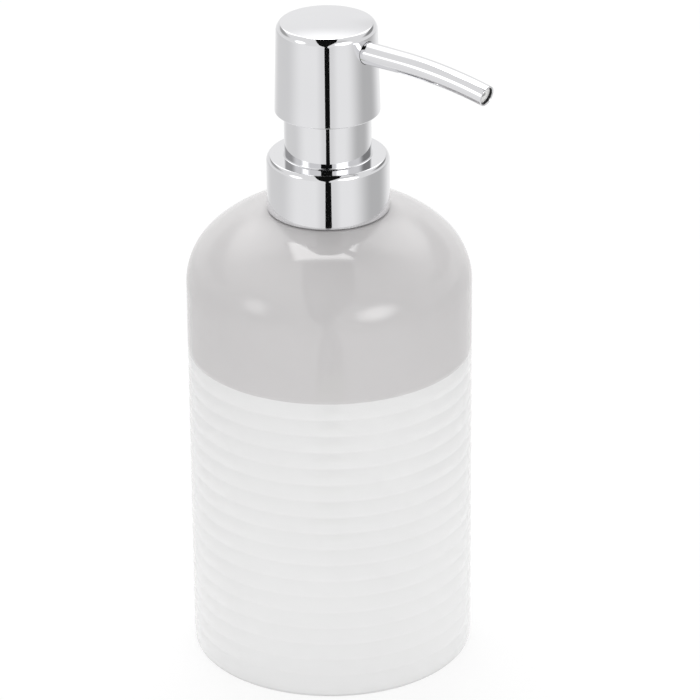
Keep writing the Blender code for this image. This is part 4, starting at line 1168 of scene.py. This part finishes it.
class DISPENSER_OT_cylinder(bpy.types.Operator):
    """Pump cylinder under the neck, and the tube down to the bottle's floor"""

    bl_idname = "dispenser.cylinder"
    bl_label = "Pump Cylinder and Dip Tube"

    def execute(self, context):
        outer = context.scene.dispenser_pump.housing_radius
        flange, low, high = span("pump_housing")
        chamber = outer - HOUSING_WALL
        flange_top = high - HOUSING_TOWER
        flange_foot = flange_top - HOUSING_FLANGE
        chamber_floor = high - CHAMBER_DEPTH
        shoulder = chamber_floor - HOUSING_WALL
        pocket_floor = chamber_floor - POCKET_DEPTH
        cone_foot = pocket_floor - CONE_HEIGHT
        socket_top = cone_foot - INLET_LENGTH
        corners = [
            (outer, high, EDGE),
            (outer, flange_top, EDGE),
            (flange, flange_top, EDGE),
            (flange, flange_foot, EDGE),
            (outer, flange_foot, SOFT_EDGE),
            (outer, shoulder, NECKED_EDGE),
            (SOCKET_RADIUS, shoulder - SOCKET_TAPER, NECKED_EDGE),
            (SOCKET_RADIUS, low, EDGE),
            (SOCKET_BORE, low, EDGE),
            (SOCKET_BORE, socket_top),
            (INLET_RADIUS, socket_top, HAIR_EDGE),
            (INLET_RADIUS, cone_foot, HAIR_EDGE),
            (POCKET_RADIUS, pocket_floor, SOFT_EDGE),
            (POCKET_RADIUS, chamber_floor, THIN_EDGE),
            (chamber, chamber_floor, ROUND_EDGE),
            (chamber, high, EDGE),
        ]
        housing = turned("pump_cylinder", rounded(corners, steps=4), TUBE_SEGMENTS)
        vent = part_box("piston")[0].z + VENT_RISE
        start, end = -outer - VENT_OVERRUN, -chamber + VENT_OVERRUN
        drill(housing, "vent_hole", start, end, vent, VENT_RADIUS, VENT_SEGMENTS)
        finish_piece(housing, "pump", "pump_housing", material("natural_plastic"))
        outer, low, high = span("dip_tube")
        bore = outer - DIP_TUBE_WALL
        tube = turned("suction_tube", [(outer, high), (outer, low), (bore, low), (bore, high)], TUBE_SEGMENTS)
        for vertex in tube.data.vertices:
            if vertex.co.z < (low + high) / 2:
                vertex.co.z = low + math.tan(DIP_TUBE_CUT) * (outer - vertex.co.x)
        finish_piece(tube, "pump", "dip_tube", material("natural_plastic"))
        return {"FINISHED"}


class DISPENSER_OT_spring(bpy.types.Operator):
    """Return spring, coiled by Geometry Nodes"""

    bl_idname = "dispenser.spring"
    bl_label = "Return Spring"

    def execute(self, context):
        settings = context.scene.dispenser_pump
        _, low, high = span("return_spring")
        spring = bpy.data.objects.new("coil_spring", bpy.data.meshes.new("coil_spring"))
        context.scene.collection.objects.link(spring)
        values = {
            "Foot": low,
            "Height": high - low,
            "Coil Radius": settings.spring_radius,
            "Wire": settings.spring_wire,
            "End Gap": settings.spring_gap,
            "Active Turns": float(settings.spring_turns),
            "Material": material("stainless_steel"),
        }
        shape_by(spring, spring_tree(), values)
        finish_piece(spring, "pump", "return_spring")
        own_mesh(spring)
        return {"FINISHED"}


class DISPENSER_OT_engine(bpy.types.Operator):
    """Finishes of the pump's inner pieces, which keep their CAD shapes"""

    bl_idname = "dispenser.engine"
    bl_label = "Inner Pieces"

    def execute(self, context):
        finishes = {
            "guide_cap": "white_plastic",
            "pump_stem": "natural_plastic",
            "valve_pin": "white_plastic",
            "piston": "natural_plastic",
            "ball_retainer": "natural_plastic",
            "inlet_ball": "stainless_steel",
            "actuator_core": "white_plastic",
        }
        for node, name in finishes.items():
            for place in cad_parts[node].material_slots:
                place.material = material(name)
        return {"FINISHED"}


# Studio


def studio_place(settings, right, away, up):
    """Place given by distances to the camera's right, away from the camera and up, from the bottle's foot."""
    side = settings.camera_side
    return Vector(
        (right * math.cos(side) - away * math.sin(side), right * math.sin(side) + away * math.cos(side), up)
    )


def stage_mesh(name, points, faces, paint, turn=0.0):
    """Flat piece of the studio, turned about the Z axis."""
    mesh = bpy.data.meshes.new(name)
    mesh.from_pydata(points, [], faces)
    mesh.materials.append(paint)
    card = bpy.data.objects.new(name, mesh)
    bpy.context.scene.collection.objects.link(card)
    card.rotation_euler.z = turn
    return card


def hide_from(item, *rays):
    for ray in rays:
        setattr(item, "visible_" + ray, False)


def reflection_card(settings, name, rows, paint):
    """Card through rows of points, seen from the camera's side. It shows in gloss and lights nothing."""
    points = [point for row in rows for point in row]
    wide = len(rows[0])
    faces = []
    for row in range(len(rows) - 1):
        for step in range(wide - 1):
            corner = row * wide + step
            faces.append((corner, corner + 1, corner + wide + 1, corner + wide))
    card = stage_mesh(name, points, faces or [tuple(range(wide))], paint, settings.camera_side)
    hide_from(card, "camera", "diffuse", "shadow", "transmission", "volume_scatter")


def emission_material(name, strength=1.0, paint=(1, 1, 1)):
    made, wire = blank_material(name)
    light = wire.add("ShaderNodeEmission", {"Color": (*paint, 1), "Strength": strength})
    wire.add("ShaderNodeOutputMaterial", {0: light.outputs[0]})
    return made, wire, light


# Each shade of the table: azimuth and half width in degrees, share that is core, level
TABLE_SHADES = [(-113, 58, 0.26, 0.74), (97, 56, 0.16, 0.53), (0, 26, 0.33, 0.80)]
TABLE_LEVEL = 0.94
TABLE_NEAR_LEVEL = 0.95
TABLE_NEAR, TABLE_FAR = 0.1, 0.25
TABLE_RADIUS = 1.8
TABLE_SEGMENTS = 96
# Each row of a card on the table: distance from the bottle, half width
STRIP_ROWS = [(0.23, 0.040), (0.29, 0.031), (0.38, 0.0305), (0.42, 0.037), (0.55, 0.054)]
STAND_BASE_ROWS = [(0.17, 0.042), (0.23, 0.042)]
# Each row of the upright stand: distance from the bottle, height, left edge, right edge
STAND_ROWS = [
    (0.55, 0.001, -0.054, 0.054),
    (0.55, 0.03, -0.04, 0.012),
    (0.55, 0.12, -0.055, 0.016),
    (0.55, 0.212, -0.12, 0.03),
    (0.55, 0.30, -0.16, 0.07),
    (0.55, 0.44, -0.20, 0.135),
    (0.55, 0.70, -0.262, 0.25),
    (0.40, 0.88, -0.265, 0.25),
    (0.20, 0.92, -0.23, 0.22),
    (-0.03, 0.92, -0.185, 0.175),
]
DARK_LEVEL = 0.006
STAND_BASE_COLOUR = (0.50, 0.55, 0.42)
BOX_LEFT, BOX_RIGHT, BOX_FRONT, BOX_BACK = -0.33, 0.24, 0.08, 0.61
BOX_HEIGHT = 1.12
BOX_SOFT_EDGE = 0.07
# Each lamp: name, shape, size, the setting that holds its power, place, target
LAMPS = [
    ("overhead_lamp", "SQUARE", 0.42, "overhead_light", (-0.04, 0.36, 1.12), (0, 0, 0.12)),
    ("right_lamp", "DISK", 0.5, "right_light", (0.48, -0.62, 0.36), (0, 0, 0.12)),
    ("left_lamp", "DISK", 0.4, "left_light", (-0.71, -0.35, 0.35), (0, 0, 0.12)),
    ("back_lamp", "DISK", 0.8, "back_light", (0, 1.0, 0.8), (0, 0, 0.12)),
    ("table_lamp", "DISK", 0.3, "table_light", (0, 0, MM), (0, 0, 1)),
]
FLOOR_REACH = 3
FLOOR_COLOUR = (0.94, 0.94, 0.94, 1)
# Each patch of the room: azimuth, rise, half width and half height in degrees, share that is core, level
ROOM_PATCHES = [
    (-150, 46, 44, 26, 0.3, 1.8),
    (150, 46, 44, 26, 0.3, 2.0),
    (-128, 21, 40, 12, 0.4, 0.42),
    (126, 21, 42, 12, 0.4, 0.28),
    (180, 20, 24, 16, 0.5, 0.95),
    (172, 22, 7, 5, 0.3, 0.8),
    (38, 44, 26, 18, 0.2, 0.66),
    (180, 33, 14, 9, 0.4, 1.3),
    (38, 14, 24, 17, 0.2, 5.0),
    (-62, 14, 17, 16, 0.1, 3.2),
]


def add_table(settings):
    """Table top as the chrome sees it: pale, with soft darker shades in three directions from the bottle."""
    made, wire, light = emission_material("table_in_reflections")
    axes = wire.axes(wire.add("ShaderNodeTexCoord").outputs["Object"])
    turn = wire.math("ARCTAN2", axes["X"], wire.times(axes["Y"], -1))
    level = TABLE_LEVEL
    for azimuth, half_width, core, shade in TABLE_SHADES:
        offset = wire.math("ABSOLUTE", wire.minus(turn, math.radians(azimuth)))
        edge = math.radians(half_width)
        within = wire.fitted(offset, core * edge, edge, 1, 0)
        level = wire.fitted(within, 0, 1, level, shade, "LINEAR")
    away = wire.size(wire.vector(axes["X"], axes["Y"], 0.0))
    near = wire.fitted(away, TABLE_NEAR, TABLE_FAR, 1, 0)
    wire.link(wire.fitted(near, 0, 1, level, TABLE_NEAR_LEVEL, "LINEAR"), light, "Strength")
    lay_out(made.node_tree)
    turns = [FULL_TURN * step / TABLE_SEGMENTS for step in range(TABLE_SEGMENTS)]
    edge = [(TABLE_RADIUS * math.cos(turn), TABLE_RADIUS * math.sin(turn), MM / 2) for turn in turns]
    reflection_card(settings, "table_reflection", [edge], made)


def add_cards(settings):
    """What the gloss shows near the bottle: the dark camera stand in front and the softbox overhead."""
    dark = emission_material("dark_card", DARK_LEVEL)[0]
    pale = emission_material("stand_base_card", 1.0, STAND_BASE_COLOUR)[0]
    for name, rows, paint in (
        ("stand_foot_card", STRIP_ROWS, dark),
        ("stand_base_card", STAND_BASE_ROWS, pale),
    ):
        strip = [((-half, -away, MM), (half, -away, MM)) for away, half in rows]
        reflection_card(settings, name, strip, paint)
    stand = [((left, -away, height), (right, -away, height)) for away, height, left, right in STAND_ROWS]
    reflection_card(settings, "stand_card", stand, dark)
    box, wire, light = emission_material("overhead_box")
    axes = wire.axes(wire.add("ShaderNodeTexCoord").outputs["Object"])
    beside = wire.math("MINIMUM", wire.minus(axes["X"], BOX_LEFT), wire.minus(BOX_RIGHT, axes["X"]))
    behind = wire.math("MINIMUM", wire.minus(axes["Y"], BOX_FRONT), wire.minus(BOX_BACK, axes["Y"]))
    edge = wire.math("MINIMUM", beside, behind)
    level = wire.fitted(edge, 0, BOX_SOFT_EDGE, settings.room_gloss, settings.overhead_gloss)
    wire.link(level, light, "Strength")
    lay_out(box.node_tree)
    ends = (BOX_FRONT, BOX_BACK)
    above = [((BOX_LEFT, along, BOX_HEIGHT), (BOX_RIGHT, along, BOX_HEIGHT)) for along in ends]
    reflection_card(settings, "overhead_box", above, box)


def add_floor(settings):
    """Plain pale floor, white to the eye apart from the object's shadow."""
    made, wire = blank_material("studio_floor")
    paint = wire.add("ShaderNodeBsdfDiffuse", {"Color": FLOOR_COLOUR}).outputs[0]
    white = wire.add("ShaderNodeEmission", {"Strength": 1.0}).outputs[0]
    rays = wire.add("ShaderNodeLightPath").outputs
    seen = wire.math("MAXIMUM", rays["Is Camera Ray"], rays["Is Glossy Ray"])
    seen = wire.math("MAXIMUM", seen, rays["Is Transmission Ray"])
    glow = wire.times(seen, 1 - settings.floor_share)
    lit = wire.add("ShaderNodeMixShader", {0: glow, 1: paint, 2: white}).outputs[0]
    clear = wire.add("ShaderNodeBsdfTransparent").outputs[0]
    under = wire.add("ShaderNodeNewGeometry").outputs["Backfacing"]
    surface = wire.add("ShaderNodeMixShader", {0: under, 1: lit, 2: clear}).outputs[0]
    wire.add("ShaderNodeOutputMaterial", {0: surface})
    lay_out(made.node_tree)
    corners = ((-1, -1), (1, -1), (1, 1), (-1, 1))
    points = [(FLOOR_REACH * east, FLOOR_REACH * north, 0) for east, north in corners]
    stage_mesh("studio_floor", points, [(0, 1, 2, 3)], made)


def add_lamp(settings, name, shape, size, power, place, target):
    """Soft light at a place, turned to a target. In gloss the cards and patches stand for it."""
    lamp = bpy.data.lights.new(name, "AREA")
    lamp.shape = shape
    lamp.size = size
    lamp.energy = power
    box = bpy.data.objects.new(name, lamp)
    bpy.context.scene.collection.objects.link(box)
    start = studio_place(settings, *place)
    direction = studio_place(settings, *target) - start
    box.location = start
    box.rotation_euler = direction.to_track_quat("-Z", "Y").to_euler()
    hide_from(box, "camera", "glossy")


def patch_group():
    """Share of a soft-edged oval patch of the room in a direction. Turn 0 is the camera's side."""
    inputs = {
        "Direction": "Vector",
        "Turn": 0.0,
        "Rise": 0.0,
        "Half Width": 0.3,
        "Half Height": 0.3,
        "Core": 0.3,
    }
    wire, given = new_tree("ShaderNodeTree", "Room Patch", inputs, "Share", "Float")
    feeds = {"Vector": given["Direction"], "Angle": wire.times(given["Turn"], -1)}
    axes = wire.axes(wire.add("ShaderNodeVectorRotate", feeds, rotation_type="Z_AXIS").outputs[0])
    sideways = wire.math("ARCTAN2", axes["X"], wire.times(axes["Y"], -1))
    upward = wire.minus(wire.math("ARCSINE", axes["Z"]), given["Rise"])
    across = wire.math("POWER", wire.math("ABSOLUTE", wire.over(sideways, given["Half Width"])), 2)
    along = wire.math("POWER", wire.math("ABSOLUTE", wire.over(upward, given["Half Height"])), 2)
    distance = wire.math("SQRT", wire.plus(across, along))
    return wire.give(wire.fitted(distance, given["Core"], 1, 1, 0))


def add_world(settings):
    """Even light all round, white to the eye. In gloss the room has darker and brighter patches."""
    world = bpy.data.worlds.new("studio")
    bpy.context.scene.world = world
    world.use_nodes = True
    world.node_tree.nodes.clear()
    wire = Wiring(world.node_tree)
    white = (1, 1, 1, 1)
    direction = wire.add("ShaderNodeTexCoord").outputs["Generated"]
    patch = patch_group()
    level = settings.room_gloss
    for azimuth, rise, half_width, half_height, core, patch_level in ROOM_PATCHES:
        feeds = {
            "Direction": direction,
            "Turn": settings.camera_side + math.radians(azimuth),
            "Rise": math.radians(rise),
            "Half Width": math.radians(half_width),
            "Half Height": math.radians(half_height),
            "Core": core,
        }
        share = wire.add("ShaderNodeGroup", feeds, node_tree=patch)
        level = wire.fitted(share.outputs[0], 0, 1, level, patch_level, "LINEAR")
    room = wire.add("ShaderNodeBackground", {"Color": white, "Strength": settings.room_light}).outputs[0]
    gloss = wire.add("ShaderNodeBackground", {"Color": white, "Strength": level}).outputs[0]
    seen = wire.add("ShaderNodeBackground", {"Color": white, "Strength": 1.0}).outputs[0]
    rays = wire.add("ShaderNodeLightPath").outputs
    unseen = wire.add("ShaderNodeMixShader", {0: rays["Is Glossy Ray"], 1: room, 2: gloss}).outputs[0]
    surface = wire.add("ShaderNodeMixShader", {0: rays["Is Camera Ray"], 1: unseen, 2: seen}).outputs[0]
    wire.add("ShaderNodeOutputWorld", {0: surface})
    lay_out(world.node_tree)


def add_camera(settings):
    pitch, yaw, roll = settings.camera_pitch, settings.camera_yaw, settings.camera_roll
    ahead = Vector((math.sin(yaw) * math.cos(pitch), math.cos(yaw) * math.cos(pitch), -math.sin(pitch)))
    right = ahead.cross(Vector((0, 0, 1))).normalized()
    upward = right.cross(ahead)
    tilt_right = math.cos(roll) * right + math.sin(roll) * upward
    tilt_up = math.cos(roll) * upward - math.sin(roll) * right
    turn = Matrix.Rotation(settings.camera_side, 4, "Z")
    facing = Matrix((tilt_right, tilt_up, -ahead)).transposed().to_4x4()
    lens = bpy.data.cameras.new("photo_camera")
    lens.sensor_fit = "HORIZONTAL"
    lens.sensor_width = SENSOR_WIDTH
    lens.lens = settings.focal_length
    lens.clip_start, lens.clip_end = CAMERA_NEAR, CAMERA_FAR
    camera = bpy.data.objects.new("photo_camera", lens)
    bpy.context.scene.collection.objects.link(camera)
    place = Matrix.Translation((0, -settings.camera_distance, settings.camera_height))
    camera.matrix_world = turn @ place @ facing
    bpy.context.scene.camera = camera


class DISPENSER_OT_studio(bpy.types.Operator):
    """Floor, reflections, lights and camera of the photograph"""

    bl_idname = "dispenser.studio"
    bl_label = "Studio"

    def execute(self, context):
        settings = context.scene.dispenser_studio
        add_world(settings)
        add_floor(settings)
        add_table(settings)
        add_cards(settings)
        for name, shape, size, power, place, target in LAMPS:
            add_lamp(settings, name, shape, size, getattr(settings, power), place, target)
        add_camera(settings)
        context.scene.view_settings.view_transform = "Standard"
        return {"FINISHED"}


class DISPENSER_PT_panel(bpy.types.Panel):
    """Lists the pieces of the dispenser and its studio"""

    bl_idname = "DISPENSER_PT_panel"
    bl_label = "Soap Dispenser"
    bl_space_type = "VIEW_3D"
    bl_region_type = "UI"
    bl_category = "Dispenser"

    def draw(self, context):
        scene = context.scene
        groups = (scene.dispenser_bottle, scene.dispenser_pump, scene.dispenser_studio)
        for settings in groups:
            box = self.layout.box()
            for name in settings.bl_rna.properties.keys():
                if name not in ("rna_type", "name"):
                    box.prop(settings, name)
        for operator in PIECES:
            self.layout.operator(operator.bl_idname)


PIECES = (
    DISPENSER_OT_bottle,
    DISPENSER_OT_neck,
    DISPENSER_OT_closure,
    DISPENSER_OT_collar,
    DISPENSER_OT_button,
    DISPENSER_OT_cylinder,
    DISPENSER_OT_spring,
    DISPENSER_OT_engine,
    DISPENSER_OT_studio,
)
SETTINGS = (BottleSettings, PumpSettings, StudioSettings)


def register():
    for part in SETTINGS + PIECES + (DISPENSER_PT_panel,):
        bpy.utils.register_class(part)
    bpy.types.Scene.dispenser_bottle = PointerProperty(type=BottleSettings)
    bpy.types.Scene.dispenser_pump = PointerProperty(type=PumpSettings)
    bpy.types.Scene.dispenser_studio = PointerProperty(type=StudioSettings)


def unregister():
    del bpy.types.Scene.dispenser_studio
    del bpy.types.Scene.dispenser_pump
    del bpy.types.Scene.dispenser_bottle
    for part in reversed(SETTINGS + PIECES + (DISPENSER_PT_panel,)):
        bpy.utils.unregister_class(part)


def main():
    register()
    bpy.ops.dispenser.bottle()
    bpy.ops.dispenser.neck()
    bpy.ops.dispenser.closure()
    bpy.ops.dispenser.collar()
    bpy.ops.dispenser.button()
    bpy.ops.dispenser.cylinder()
    bpy.ops.dispenser.spring()
    bpy.ops.dispenser.engine()
    bpy.ops.dispenser.studio()


if __name__ == "__main__":
    main()
